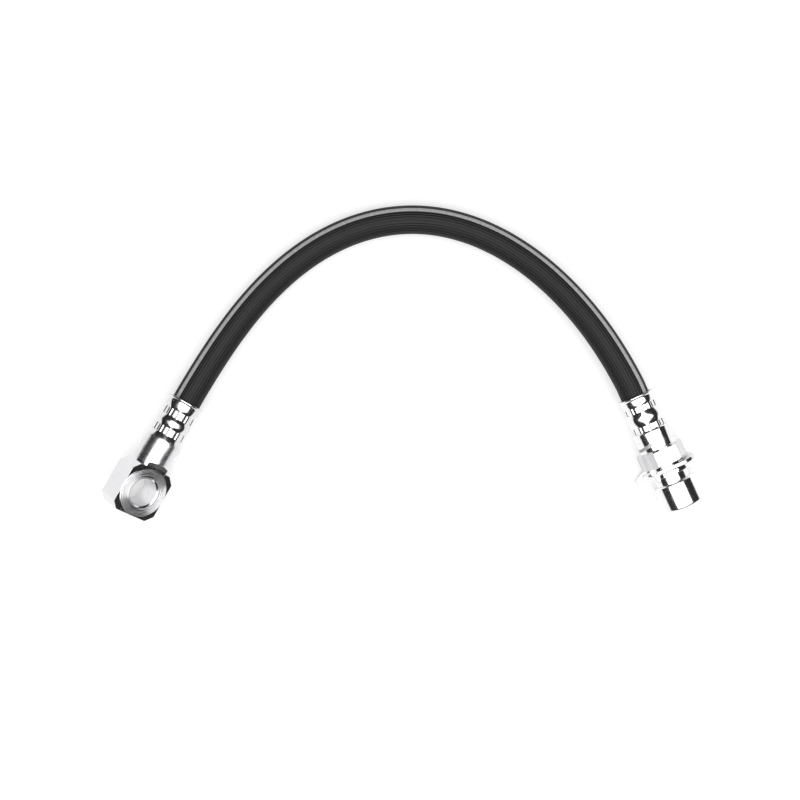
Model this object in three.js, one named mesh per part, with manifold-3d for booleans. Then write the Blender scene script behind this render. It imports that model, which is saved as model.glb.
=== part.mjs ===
// Brake hose: a rubber hose lying in one open bend, with a crimped banjo fitting on
// one end and a crimped female fitting, with its retaining clip, on the other.
// Millimetres, +Z up, standing on Z = 0.

import * as THREE from 'three';
import { mergeVertices } from 'three/addons/utils/BufferGeometryUtils.js';
import Module from 'manifold-3d';

const wasm = await Module();
wasm.setup();

// Driving dimensions, in millimetres and degrees

// Free gap between pieces that seat on each other
const CLEARANCE = 0.3;

// Hose
const HOSE_DIAMETER = 10.2;
const HOSE_BORE = 3.2;
// Length of hose past the second crimp of each socket
const HOSE_OVERRUN = 0.9;

// Crimped sockets: how far each form stands out from the hose
const CRIMP_RISE = 0.75;
const BULGE_RISE = 1.3;
const BANJO_RIM_FLARE = 1.7;
const FEMALE_RIM_FLARE = 1.4;
const RIM_LIP = 0.45;
const RIM_STEP = 0.4;
const RIM_WALL = 0.45;
const MOUTH_DEPTH = 1.2;
const SQUEEZE_RAMP = 0.7;
const SOCKET_WALL = 0.75;
const JAW_COUNT = 10;
const JAW_DEPTH = 0.4;
const JAW_WIDTH = 2.35;
// Turn of each fitting's first jaw mark from its top
const BANJO_FIRST_JAW = 21;
const FEMALE_FIRST_JAW = -7.5;
const BANJO_BELL_LENGTH = 4.15;
const BANJO_CRIMP_LENGTH = 2.8;
const BANJO_BULGE_LENGTH = 3.85;
const FEMALE_BELL_LENGTH = 3.45;
const FEMALE_CRIMP_LENGTH = 2.25;
const FEMALE_BULGE_LENGTH = 4.85;

// Nipples that hold the hose from inside
const NIPPLE_BORE = 2.4;
const NIPPLE_STRETCH = 0.45;
const BARB_RISE = 0.22;
const BARB_PITCH = 2.4;
const BARB_COUNT = 4;
// Shares of the pitch: where the first barb starts, and where a barb peaks and ends
const BARB_START = 0.5;
const BARB_PEAK = 0.75;
const BARB_END = 0.8;
const NIPPLE_LEAD = 1.6;
const NIPPLE_TIP_LENGTH = 0.6;
const NIPPLE_TIP_TAPER = 0.3;
const NIPPLE_TIP_CHAMFER = 0.3;
const SHANK_DIAMETER = 5.6;
const SHANK_LENGTH = 4.2;

// Banjo fitting
const BANJO_STEM_DIAMETER = 13.2;
const BANJO_REACH = 35;
const BLOCK_SIZE = 18;
const BLOCK_THICKNESS = 10.6;
const BLOCK_CORNER_CUT = 2.6;
const BANJO_BORE = 10.2;
const BANJO_BORE_CHAMFER = 0.5;
const SEAL_FACE_DIAMETER = 17.6;
const SEAL_FACE_STEP = 0.3;
const FACING_MARGIN = 0.25;
const BANJO_CONE_LENGTH = 2.2;

// Female fitting
const FEMALE_STEM_DIAMETER = 13.3;
const FEMALE_CONE_LENGTH = 0.9;
const HEX_START = 19.85;
const HEX_LENGTH = 6.1;
const HEX_ACROSS_FLATS = 15;
const HEX_CHAMFER_ANGLE = 30;
const GROOVE_DIAMETER = 12.1;
const CLIP_GROOVE_WIDTH = 2.3;
const COLLAR_DIAMETER = 15.6;
const COLLAR_LENGTH = 1.7;
const NECK_LENGTH = 2.9;
const NOSE_DIAMETER = 15;
const NOSE_LENGTH = 9.5;
const EDGE_CHAMFER = 0.5;
const PORT_BORE = 8.9;
const PORT_DEPTH = 11;
const SEAT_DIAMETER = 6.6;
const SEAT_HEIGHT = 2;
const SEAT_LIP = 0.4;

// Retaining clip
const CLIP_THICKNESS = 1.3;
const CLIP_HALF_HEIGHT = 9.3;
const CLIP_BACK = 9.8;
const CLIP_BACK_CORNER = 6;
const CLIP_BOW_START = 5;
const CLIP_BOW_RADIUS = 20;
const CLIP_BEND_RADIUS = 1.4;
const UPPER_BEND_START = 4.5;
const UPPER_BEND_ANGLE = 80;
const UPPER_LEG_END = 3.6;
const LOWER_BEND_START = 7.2;
const LOWER_BEND_ANGLE = 30;
const LOWER_LEG_END = 4.4;

// How the fittings lie: turns about their own axes
const BANJO_ROLL = -42;
const HEX_ROLL = -3.5;

// Centre line of the hose, from its end in the banjo socket to its end in the
// female socket. Its straight first and last stretches lie inside the sockets.
const ROUTE = [
  [-84.07, 6.1, 8.7],
  [-77.01, 18.71, 7.65],
  [-74.57, 23.06, 7.29],
  [-68.55, 33.03, 6.57],
  [-62.14, 42.7, 6],
  [-55.12, 51.97, 5.57],
  [-47.36, 60.56, 5.28],
  [-38.8, 68.21, 5.14],
  [-29.45, 74.63, 5.12],
  [-19.39, 79.54, 5.12],
  [-8.79, 82.7, 5.12],
  [2.13, 83.93, 5.12],
  [13.09, 83.16, 5.12],
  [23.85, 80.43, 5.13],
  [34.15, 75.92, 5.42],
  [43.84, 69.87, 5.99],
  [52.78, 62.54, 6.73],
  [60.91, 54.22, 7.54],
  [68.2, 45.15, 8.31],
  [74.61, 35.51, 8.91],
  [80.27, 25.39, 9.3],
  [82.32, 20.83, 9.3],
  [87.93, 8.33, 9.3],
];

// Fineness of round forms
const ROUND_SIDES = 32;
const FACING_SIDES = 64;
const BOLT_BORE_SIDES = 48;
const HEX_CONE_SIDES = 48;
const HOSE_SIDES = 12;
const BORE_SIDES = 8;
const NIPPLE_SIDES = 20;
const HOSE_STEPS = 66;
const BULGE_STEPS = 6;
const BELL_STEPS = 4;
const BEND_STEPS = 5;

// How far a cutting shape reaches past what it cuts, and points this close are one
const CUT_MARGIN = 1;
const MERGE_DISTANCE = 1e-5;

const degrees = THREE.MathUtils.degToRad;

// Solids and booleans

function toSolid(geometry) {
  const bare = geometry.clone();
  bare.deleteAttribute('normal');
  bare.deleteAttribute('uv');
  const merged = mergeVertices(bare, MERGE_DISTANCE);
  const mesh = new wasm.Mesh({
    numProp: 3,
    vertProperties: Float32Array.from(merged.attributes.position.array),
    triVerts: Uint32Array.from(merged.index.array),
  });
  return new wasm.Manifold(mesh);
}

function toGeometry(solid) {
  const mesh = solid.getMesh();
  const geometry = new THREE.BufferGeometry();
  geometry.setAttribute('position', new THREE.BufferAttribute(mesh.vertProperties, 3));
  geometry.setIndex(new THREE.BufferAttribute(mesh.triVerts, 1));
  geometry.computeVertexNormals();
  return geometry;
}

// A closed profile of [along, radius] points, turned about the X axis
function turned(profile, sides = ROUND_SIDES) {
  const points = profile.map(([along, radius]) => new THREE.Vector2(radius, along));
  points.push(points[0].clone());
  const lathe = new THREE.LatheGeometry(points, sides);
  lathe.rotateZ(-Math.PI / 2);
  return outward(lathe);
}

// The same about the Z axis, for [radius, height] points
function turnedUpright(profile, sides = ROUND_SIDES) {
  const points = profile.map(([radius, height]) => new THREE.Vector2(radius, height));
  points.push(points[0].clone());
  const lathe = new THREE.LatheGeometry(points, sides);
  lathe.rotateX(Math.PI / 2);
  return outward(lathe);
}

// A shape in the YZ plane, drawn out along X
function prismAlongX(shape, from, to) {
  const prism = new THREE.ExtrudeGeometry(shape, { depth: to - from, bevelEnabled: false });
  prism.applyMatrix4(new THREE.Matrix4().set(
    0, 0, 1, from,
    1, 0, 0, 0,
    0, 1, 0, 0,
    0, 0, 0, 1,
  ));
  return outward(prism);
}

// Turns a closed surface round where its faces point inwards
function outward(geometry) {
  const flat = geometry.index ? geometry.toNonIndexed() : geometry;
  const p = flat.attributes.position;
  const [a, b, c] = [new THREE.Vector3(), new THREE.Vector3(), new THREE.Vector3()];
  let volume = 0;
  for (let i = 0; i < p.count; i += 3) {
    a.fromBufferAttribute(p, i);
    b.fromBufferAttribute(p, i + 1);
    c.fromBufferAttribute(p, i + 2);
    volume += a.dot(b.cross(c));
  }
  if (volume < 0) {
    for (let i = 0; i < p.count; i += 3) {
      b.fromBufferAttribute(p, i + 1);
      c.fromBufferAttribute(p, i + 2);
      p.setXYZ(i + 1, c.x, c.y, c.z);
      p.setXYZ(i + 2, b.x, b.y, b.z);
    }
  }
  return flat;
}

// Sockets: where each form starts along the axis, counted from the rim

const hoseRadius = HOSE_DIAMETER / 2;
const nippleRadius = HOSE_BORE / 2 + NIPPLE_STRETCH;
const barbRadius = nippleRadius + BARB_RISE;

function socketPlan(bell, crimp, bulge, rimFlare) {
  const firstCrimp = bell;
  const bulgeStart = firstCrimp + crimp;
  const secondCrimp = bulgeStart + bulge;
  const tail = secondCrimp + crimp;
  const hoseEnd = tail + HOSE_OVERRUN;
  return {
    firstCrimp,
    bulgeStart,
    secondCrimp,
    tail,
    hoseEnd,
    floor: hoseEnd + CLEARANCE,
    crimp,
    bulge,
    rimRadius: hoseRadius + rimFlare,
    crimpRadius: hoseRadius + CRIMP_RISE,
    bulgeRadius: hoseRadius + BULGE_RISE,
    innerRadius: hoseRadius + CLEARANCE,
    tightRadius: hoseRadius + CRIMP_RISE - JAW_DEPTH - SOCKET_WALL,
  };
}

// The bulge between the crimps, from one radius up to another and back
function barrel(start, length, endRadius, midRadius) {
  const points = [];
  for (let i = 0; i <= BULGE_STEPS; i += 1) {
    const t = i / BULGE_STEPS;
    points.push([start + length * t, endRadius + (midRadius - endRadius) * Math.sin(Math.PI * t)]);
  }
  return points;
}

// Outside of a socket from the rim to the end of its second crimp
function socketOutside(plan) {
  const lipRadius = plan.rimRadius - RIM_STEP;
  const lipEnd = RIM_LIP + RIM_STEP;
  const bell = [];
  for (let i = 0; i <= BELL_STEPS; i += 1) {
    const t = i / BELL_STEPS;
    const fall = 1 - Math.cos((Math.PI / 2) * t);
    bell.push([
      lipEnd + (plan.firstCrimp - lipEnd) * t,
      lipRadius + (plan.crimpRadius - lipRadius) * fall,
    ]);
  }
  return [
    [0, plan.rimRadius],
    [RIM_LIP, plan.rimRadius],
    ...bell,
    ...barrel(plan.bulgeStart, plan.bulge, plan.crimpRadius, plan.bulgeRadius),
    [plan.tail, plan.crimpRadius],
  ];
}

// Inside of a socket from its floor to where its mouth opens. With an inset it gives
// the outside of the hose that fills it.
function socketInside(plan, inset) {
  const tight = plan.tightRadius - inset;
  const inner = plan.innerRadius - inset;
  return [
    [plan.floor, tight],
    ...barrel(plan.bulgeStart, plan.bulge, tight, inner).reverse(),
    [plan.firstCrimp, tight],
    [plan.firstCrimp - SQUEEZE_RAMP, inner],
  ];
}

// The marks of the crimping jaws: a ring of flats with lands between them
function jawMarks(plan, start, firstJaw) {
  const marks = [];
  const inner = plan.crimpRadius - JAW_DEPTH;
  const outer = plan.crimpRadius + CUT_MARGIN;
  for (let i = 0; i < JAW_COUNT; i += 1) {
    const box = new THREE.BoxGeometry(plan.crimp, JAW_WIDTH, outer - inner);
    box.translate(start + plan.crimp / 2, 0, (inner + outer) / 2);
    box.rotateX(degrees(firstJaw) + (2 * Math.PI * i) / JAW_COUNT);
    marks.push(toSolid(box));
  }
  return marks;
}

function cutJawMarks(solid, plan, firstJaw) {
  let cut = solid;
  for (const start of [plan.firstCrimp, plan.secondCrimp]) {
    for (const mark of jawMarks(plan, start, firstJaw)) {
      cut = cut.subtract(mark);
    }
  }
  return cut;
}

// What is hollow behind a socket: the room for the hose, the seat of the nipple's
// shank and the fluid passage behind it, up to a given depth
function socketHollow(plan, passageEnd) {
  const shankRadius = SHANK_DIAMETER / 2 + CLEARANCE;
  const shankEnd = plan.floor + SHANK_LENGTH + CLEARANCE;
  const mouth = plan.rimRadius - RIM_WALL;
  const passage = NIPPLE_BORE / 2;
  return toSolid(turned([
    [-CUT_MARGIN, 0],
    [passageEnd, 0],
    [passageEnd, passage],
    [shankEnd, passage],
    [shankEnd, shankRadius],
    [plan.floor, shankRadius],
    ...socketInside(plan, 0),
    [MOUTH_DEPTH, plan.innerRadius],
    [0, mouth],
    [-CUT_MARGIN, mouth],
  ]));
}

// Nipple: a barbed tube inside the hose, with a thicker shank seated in the fitting
function nipple(plan) {
  const barbs = [];
  for (let i = 0; i < BARB_COUNT; i += 1) {
    const start = NIPPLE_LEAD + BARB_PITCH * (i + BARB_START);
    barbs.push([start, nippleRadius]);
    barbs.push([start + BARB_PITCH * BARB_PEAK, barbRadius]);
    barbs.push([start + BARB_PITCH * BARB_END, nippleRadius]);
  }
  const shankRadius = SHANK_DIAMETER / 2;
  const bore = NIPPLE_BORE / 2;
  return turned([
    [NIPPLE_LEAD, bore + NIPPLE_TIP_CHAMFER / 2],
    [NIPPLE_LEAD, nippleRadius - NIPPLE_TIP_TAPER],
    [NIPPLE_LEAD + NIPPLE_TIP_LENGTH, nippleRadius],
    ...barbs,
    [plan.floor, nippleRadius],
    [plan.floor, shankRadius],
    [plan.floor + SHANK_LENGTH, shankRadius],
    [plan.floor + SHANK_LENGTH, bore],
    [NIPPLE_LEAD + NIPPLE_TIP_CHAMFER, bore],
  ], NIPPLE_SIDES);
}

// Banjo fitting: socket and stem, then a square block bored across for the bolt

const banjoPlan = socketPlan(
  BANJO_BELL_LENGTH,
  BANJO_CRIMP_LENGTH,
  BANJO_BULGE_LENGTH,
  BANJO_RIM_FLARE,
);

function blockOutline() {
  const half = BLOCK_SIZE / 2;
  const cut = half - BLOCK_CORNER_CUT;
  const corners = [
    [half, -cut], [half, cut], [cut, half], [-cut, half],
    [-half, cut], [-half, -cut], [-cut, -half], [cut, -half],
  ];
  return new THREE.Shape(corners.map(([x, y]) => new THREE.Vector2(x, y)));
}

// What the facing tool takes off above one face. It leaves the sealing face a little
// proud and cuts a crescent out of the stem.
function facingCut() {
  const face = BLOCK_THICKNESS / 2;
  const floor = face - SEAL_FACE_STEP;
  const seal = SEAL_FACE_DIAMETER / 2;
  const half = BLOCK_SIZE / 2;
  const reach = Math.hypot(half, half - BLOCK_CORNER_CUT) + FACING_MARGIN;
  const top = BANJO_STEM_DIAMETER;
  const cut = turnedUpright([
    [0, face],
    [seal, face],
    [seal, floor],
    [reach, floor],
    [reach, top],
    [0, top],
  ], FACING_SIDES);
  cut.translate(BANJO_REACH, 0, 0);
  return cut;
}

function boltBore() {
  const face = BLOCK_THICKNESS / 2;
  const radius = BANJO_BORE / 2;
  const wide = radius + BANJO_BORE_CHAMFER;
  const start = face - BANJO_BORE_CHAMFER;
  const cut = turnedUpright([
    [0, -face - CUT_MARGIN],
    [wide, -face - CUT_MARGIN],
    [wide, -face],
    [radius, -start],
    [radius, start],
    [wide, face],
    [wide, face + CUT_MARGIN],
    [0, face + CUT_MARGIN],
  ], BOLT_BORE_SIDES);
  cut.translate(BANJO_REACH, 0, 0);
  return cut;
}

function banjoFitting() {
  const plan = banjoPlan;
  const stemRadius = BANJO_STEM_DIAMETER / 2;
  const body = toSolid(turned([
    [0, 0],
    ...socketOutside(plan),
    [plan.tail + BANJO_CONE_LENGTH, stemRadius],
    [BANJO_REACH, stemRadius],
    [BANJO_REACH, 0],
  ]));
  const block = new THREE.ExtrudeGeometry(blockOutline(), {
    depth: BLOCK_THICKNESS + 2 * FACING_MARGIN,
    bevelEnabled: false,
  });
  block.translate(BANJO_REACH, 0, -BLOCK_THICKNESS / 2 - FACING_MARGIN);
  const upperCut = facingCut();
  const lowerCut = upperCut.clone().rotateX(Math.PI);
  let solid = body.add(toSolid(block));
  solid = solid.subtract(toSolid(upperCut)).subtract(toSolid(lowerCut));
  solid = solid.subtract(toSolid(boltBore())).subtract(socketHollow(plan, BANJO_REACH));
  return toGeometry(cutJawMarks(solid, plan, BANJO_FIRST_JAW));
}

// Female fitting: socket, stem, hexagon, clip groove, collar, neck and threaded nose

const femalePlan = socketPlan(
  FEMALE_BELL_LENGTH,
  FEMALE_CRIMP_LENGTH,
  FEMALE_BULGE_LENGTH,
  FEMALE_RIM_FLARE,
);
const hexEnd = HEX_START + HEX_LENGTH;
const collarStart = hexEnd + CLIP_GROOVE_WIDTH;
const neckStart = collarStart + COLLAR_LENGTH;
const noseStart = neckStart + NECK_LENGTH;
const noseEnd = noseStart + NOSE_LENGTH;

function hexagon() {
  const corner = HEX_ACROSS_FLATS / Math.sqrt(3);
  const corners = [];
  for (let i = 0; i < 6; i += 1) {
    const angle = (Math.PI / 3) * i;
    corners.push(new THREE.Vector2(corner * Math.cos(angle), corner * Math.sin(angle)));
  }
  const flat = HEX_ACROSS_FLATS / 2;
  const drop = (corner - flat) * Math.tan(degrees(HEX_CHAMFER_ANGLE));
  const cone = turned([
    [HEX_START, 0],
    [HEX_START, flat],
    [HEX_START + drop, corner],
    [hexEnd - drop / 2, corner],
    [hexEnd, (flat + corner) / 2],
    [hexEnd, 0],
  ], HEX_CONE_SIDES);
  const outline = new THREE.Shape(corners);
  const prism = prismAlongX(outline, HEX_START - CUT_MARGIN, hexEnd + CUT_MARGIN);
  prism.rotateX(degrees(HEX_ROLL));
  return toSolid(prism).intersect(toSolid(cone));
}

// The port's hollow: a bore for the pipe nut with a coned seat at its floor
function port() {
  const floor = noseEnd - PORT_DEPTH;
  const bore = PORT_BORE / 2;
  const passage = NIPPLE_BORE / 2;
  return toSolid(turned([
    [floor - CUT_MARGIN, 0],
    [floor - CUT_MARGIN, passage],
    [floor + SEAT_HEIGHT, passage],
    [floor + SEAT_HEIGHT, passage + SEAT_LIP],
    [floor, SEAT_DIAMETER / 2],
    [floor, bore],
    [noseEnd - EDGE_CHAMFER, bore],
    [noseEnd, bore + EDGE_CHAMFER],
    [noseEnd + CUT_MARGIN, bore + EDGE_CHAMFER],
    [noseEnd + CUT_MARGIN, 0],
  ]));
}

function femaleFitting() {
  const plan = femalePlan;
  const stem = FEMALE_STEM_DIAMETER / 2;
  const groove = GROOVE_DIAMETER / 2;
  const collar = COLLAR_DIAMETER / 2;
  const nose = NOSE_DIAMETER / 2;
  const body = toSolid(turned([
    [0, 0],
    ...socketOutside(plan),
    [plan.tail + FEMALE_CONE_LENGTH, stem],
    [HEX_START + HEX_LENGTH / 2, stem],
    [HEX_START + HEX_LENGTH / 2, groove],
    [collarStart, groove],
    [collarStart, collar],
    [neckStart, collar],
    [neckStart, groove],
    [noseStart, groove],
    [noseStart, nose - EDGE_CHAMFER],
    [noseStart + EDGE_CHAMFER, nose],
    [noseEnd - EDGE_CHAMFER, nose],
    [noseEnd, nose - EDGE_CHAMFER],
    [noseEnd, 0],
  ]));
  let solid = body.add(hexagon());
  solid = solid.subtract(socketHollow(plan, noseEnd - PORT_DEPTH)).subtract(port());
  return toGeometry(cutJawMarks(solid, plan, FEMALE_FIRST_JAW));
}

// Retaining clip: sheet steel, slotted to ride in the groove, with a bowed back and
// bent leg ends

const slotHalf = GROOVE_DIAMETER / 2 + CLEARANCE;
const clipMiddle = collarStart - CLEARANCE - CLIP_THICKNESS / 2;
const upperLeg = { bendStart: UPPER_BEND_START, bend: UPPER_BEND_ANGLE, end: UPPER_LEG_END };
const lowerLeg = { bendStart: LOWER_BEND_START, bend: LOWER_BEND_ANGLE, end: LOWER_LEG_END };
const longestLeg = Math.max(upperLeg.bendStart + upperLeg.end, lowerLeg.bendStart + lowerLeg.end);

// The sheet seen edge-on, from the back of the clip to the end of one leg
function clipRibbon(leg) {
  const centre = [];
  const bowSpan = CLIP_BACK - CLIP_BOW_START;
  const steps = BEND_STEPS;
  for (let i = 0; i <= steps; i += 1) {
    const angle = (Math.asin(bowSpan / CLIP_BOW_RADIUS) * (steps - i)) / steps;
    centre.push([
      CLIP_BOW_START + CLIP_BOW_RADIUS * Math.sin(angle),
      -CLIP_BOW_RADIUS * (1 - Math.cos(angle)),
      angle,
    ]);
  }
  const bend = degrees(leg.bend);
  for (let i = 0; i <= steps; i += 1) {
    const angle = (bend * i) / steps;
    centre.push([
      -leg.bendStart - CLIP_BEND_RADIUS * Math.sin(angle),
      CLIP_BEND_RADIUS * (1 - Math.cos(angle)),
      angle,
    ]);
  }
  const straight = leg.end - CLIP_BEND_RADIUS * bend;
  const [y, x, angle] = centre[centre.length - 1];
  centre.push([y - straight * Math.cos(angle), x + straight * Math.sin(angle), angle]);
  const half = CLIP_THICKNESS / 2;
  const front = centre.map(([cy, cx, a]) => new THREE.Vector2(
    cy + half * Math.sin(a),
    cx + half * Math.cos(a),
  ));
  const back = centre.map(([cy, cx, a]) => new THREE.Vector2(
    cy - half * Math.sin(a),
    cx - half * Math.cos(a),
  ));
  return new THREE.Shape([...front, ...back.reverse()]);
}

// That ribbon drawn out along Z from one height to another, at its place on the axis
function clipSheet(leg, from, to) {
  const sheet = new THREE.ExtrudeGeometry(clipRibbon(leg), {
    depth: to - from,
    bevelEnabled: false,
  });
  sheet.applyMatrix4(new THREE.Matrix4().set(
    0, 1, 0, clipMiddle,
    1, 0, 0, 0,
    0, 0, 1, from,
    0, 0, 0, 1,
  ));
  return toSolid(outward(sheet));
}

function clipOutline() {
  const height = CLIP_HALF_HEIGHT;
  const corner = CLIP_BACK_CORNER;
  const end = longestLeg + CUT_MARGIN;
  const outline = new THREE.Shape();
  outline.moveTo(-end, -height);
  outline.lineTo(CLIP_BACK - corner, -height);
  outline.absarc(CLIP_BACK - corner, -height + corner, corner, -Math.PI / 2, 0, false);
  outline.absarc(CLIP_BACK - corner, height - corner, corner, 0, Math.PI / 2, false);
  outline.lineTo(-end, height);
  return outline;
}

function clipSlot() {
  const end = longestLeg + 2 * CUT_MARGIN;
  const slot = new THREE.Shape();
  slot.moveTo(-end, -slotHalf);
  slot.lineTo(0, -slotHalf);
  slot.absarc(0, 0, slotHalf, -Math.PI / 2, Math.PI / 2, false);
  slot.lineTo(-end, slotHalf);
  return slot;
}

function retainingClip() {
  const height = CLIP_HALF_HEIGHT + CUT_MARGIN;
  const reach = longestLeg + CUT_MARGIN;
  const upper = clipSheet(upperLeg, 0, height);
  const lower = clipSheet(lowerLeg, -height, 0);
  const outline = toSolid(prismAlongX(clipOutline(), clipMiddle - longestLeg, clipMiddle + longestLeg));
  const slot = toSolid(prismAlongX(clipSlot(), clipMiddle - reach, clipMiddle + reach));
  return toGeometry(upper.add(lower).intersect(outline).subtract(slot));
}

// How a fitting lies: on the hose's end, in line with its straight last stretch

function fittingFrame(plan, end, next) {
  const tip = new THREE.Vector3(...end);
  const along = tip.clone().sub(new THREE.Vector3(...next)).normalize();
  const frame = new THREE.Group();
  frame.position.copy(tip).addScaledVector(along, -plan.hoseEnd);
  const yaw = Math.atan2(along.y, along.x);
  const rise = Math.asin(along.z);
  frame.rotation.set(0, -rise, yaw, 'ZYX');
  frame.updateMatrixWorld(true);
  return frame;
}

const banjoFrame = fittingFrame(banjoPlan, ROUTE[0], ROUTE[1]);
const femaleFrame = fittingFrame(femalePlan, ROUTE[ROUTE.length - 1], ROUTE[ROUTE.length - 2]);

// Hose: a plain tube along its route, drawn in where the crimps grip it and opened
// out over the nipples

function ringShape() {
  const ring = new THREE.Shape();
  const hole = new THREE.Path();
  const trace = (path, radius, sides) => {
    for (let i = 0; i < sides; i += 1) {
      const angle = (2 * Math.PI * i) / sides;
      const x = radius * Math.cos(angle);
      const y = radius * Math.sin(angle);
      if (i === 0) path.moveTo(x, y);
      else path.lineTo(x, y);
    }
    path.closePath();
  };
  trace(ring, hoseRadius, HOSE_SIDES);
  trace(hole, HOSE_BORE / 2, BORE_SIDES);
  ring.holes.push(hole);
  return ring;
}

// What the socket squeezes off the end of the hose, and what the nipple opens
function hoseEndCuts(plan, frame) {
  const past = plan.floor + CUT_MARGIN;
  const wide = plan.rimRadius + CUT_MARGIN;
  const squeeze = turned([
    ...socketInside(plan, CLEARANCE),
    [plan.firstCrimp - SQUEEZE_RAMP, wide],
    [past, wide],
    [past, plan.tightRadius - CLEARANCE],
  ]);
  const opening = turned([
    [NIPPLE_LEAD - CLEARANCE, 0],
    [NIPPLE_LEAD - CLEARANCE, barbRadius + CLEARANCE],
    [past, barbRadius + CLEARANCE],
    [past, 0],
  ], NIPPLE_SIDES);
  return [squeeze, opening].map((cut) => toSolid(cut.applyMatrix4(frame.matrixWorld)));
}

function hose() {
  const route = new THREE.CatmullRomCurve3(
    ROUTE.map((point) => new THREE.Vector3(...point)),
    false,
    'centripetal',
  );
  const tube = new THREE.ExtrudeGeometry(ringShape(), {
    steps: HOSE_STEPS,
    extrudePath: route,
    bevelEnabled: false,
  });
  let solid = toSolid(outward(tube));
  const cuts = [
    ...hoseEndCuts(banjoPlan, banjoFrame),
    ...hoseEndCuts(femalePlan, femaleFrame),
  ];
  for (const cut of cuts) {
    solid = solid.subtract(cut);
  }
  return toGeometry(solid);
}

// Materials

const rubber = new THREE.MeshStandardMaterial({ color: 0x1d1d1e, roughness: 0.55, metalness: 0 });
const plating = new THREE.MeshStandardMaterial({ color: 0xd2d3d5, roughness: 0.2, metalness: 1 });
const springSteel = new THREE.MeshStandardMaterial({ color: 0xc4c5c6, roughness: 0.3, metalness: 1 });

function piece(name, geometry, material) {
  const mesh = new THREE.Mesh(geometry, material.clone());
  mesh.name = name;
  return mesh;
}

// Assembly

const brakeHose = new THREE.Group();
brakeHose.add(piece('hose', hose(), rubber));

const banjoTurn = new THREE.Group();
banjoTurn.rotation.x = degrees(BANJO_ROLL);
banjoTurn.add(piece('banjo_fitting', banjoFitting(), plating));
banjoTurn.add(piece('banjo_nipple', nipple(banjoPlan), plating));
banjoFrame.add(banjoTurn);
brakeHose.add(banjoFrame);

femaleFrame.add(piece('female_fitting', femaleFitting(), plating));
femaleFrame.add(piece('female_nipple', nipple(femalePlan), plating));
femaleFrame.add(piece('retaining_clip', retainingClip(), springSteel));
brakeHose.add(femaleFrame);

export default brakeHose;
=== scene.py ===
"""Brake hose with a crimped banjo fitting and a crimped female fitting: its looks, made round the
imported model. Lengths are in metres. Each piece that shows is a surface worked out with numpy, with
its place in its mesh. The two nipples inside the hose keep the solids' shape."""
import math

import bmesh
import bpy
import numpy as np
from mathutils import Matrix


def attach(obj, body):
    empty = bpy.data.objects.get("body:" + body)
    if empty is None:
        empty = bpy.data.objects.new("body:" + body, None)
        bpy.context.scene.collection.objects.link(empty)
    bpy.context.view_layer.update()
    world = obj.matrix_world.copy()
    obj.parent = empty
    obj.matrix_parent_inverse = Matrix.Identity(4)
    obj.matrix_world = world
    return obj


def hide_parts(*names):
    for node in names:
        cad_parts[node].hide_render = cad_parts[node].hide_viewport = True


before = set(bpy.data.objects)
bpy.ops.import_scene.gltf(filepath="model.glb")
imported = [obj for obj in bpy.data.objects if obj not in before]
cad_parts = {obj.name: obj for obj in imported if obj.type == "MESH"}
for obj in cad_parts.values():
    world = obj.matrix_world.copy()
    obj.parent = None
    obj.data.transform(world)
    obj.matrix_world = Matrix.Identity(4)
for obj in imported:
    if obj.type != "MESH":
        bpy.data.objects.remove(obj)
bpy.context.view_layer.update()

MM = 0.001

# Camera: straight above the object, with the top of the picture towards +Y

CAMERA_PLACE = (-0.98 * MM, 19.39 * MM, 434.78 * MM)
CAMERA_LENS = 54.0
CAMERA_SENSOR = 36.0


def add_camera():
    """A camera that isn't turned looks straight down."""
    data = bpy.data.cameras.new("camera")
    data.sensor_width = CAMERA_SENSOR
    data.lens = CAMERA_LENS
    camera = bpy.data.objects.new("camera", data)
    camera.location = CAMERA_PLACE
    bpy.context.scene.collection.objects.link(camera)
    bpy.context.scene.camera = camera


add_camera()

# Meshes from grids of points

WELD = 1.0e-6
ARC_STEPS = 5
FILLET_ROOM = 0.45


def unit(vectors):
    """Vectors scaled to length one; a vector of no length stays as it is."""
    length = np.linalg.norm(vectors, axis=-1, keepdims=True)
    return vectors / np.where(length > 0, length, 1)


def quads(rows, columns, wrap_rows, wrap_columns):
    """Corner numbers of the quads of a grid of points, row by row; a wrapped way closes on itself."""
    i, j = np.meshgrid(
        np.arange(rows if wrap_rows else rows - 1),
        np.arange(columns if wrap_columns else columns - 1),
        indexing="ij",
    )
    below, right = (i + 1) % rows, (j + 1) % columns
    corners = [i * columns + j, i * columns + right, below * columns + right, below * columns + j]
    return np.stack(corners, -1).reshape(-1, 4)


def even_normals(mesh):
    """A vertex's normal is the sum of its faces' normals times their areas, so that flats stay flat
    beside narrow rounded edges."""
    faces = len(mesh.polygons)
    normals, areas, totals = np.zeros(faces * 3), np.zeros(faces), np.zeros(faces, int)
    mesh.polygons.foreach_get("normal", normals)
    mesh.polygons.foreach_get("area", areas)
    mesh.polygons.foreach_get("loop_total", totals)
    corners = np.zeros(len(mesh.loops), int)
    mesh.loops.foreach_get("vertex_index", corners)
    weighted = np.repeat(normals.reshape(-1, 3) * areas[:, None], totals, axis=0)
    summed = np.zeros((len(mesh.vertices), 3))
    np.add.at(summed, corners, weighted)
    mesh.normals_split_custom_set_from_vertices(unit(summed))


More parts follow.
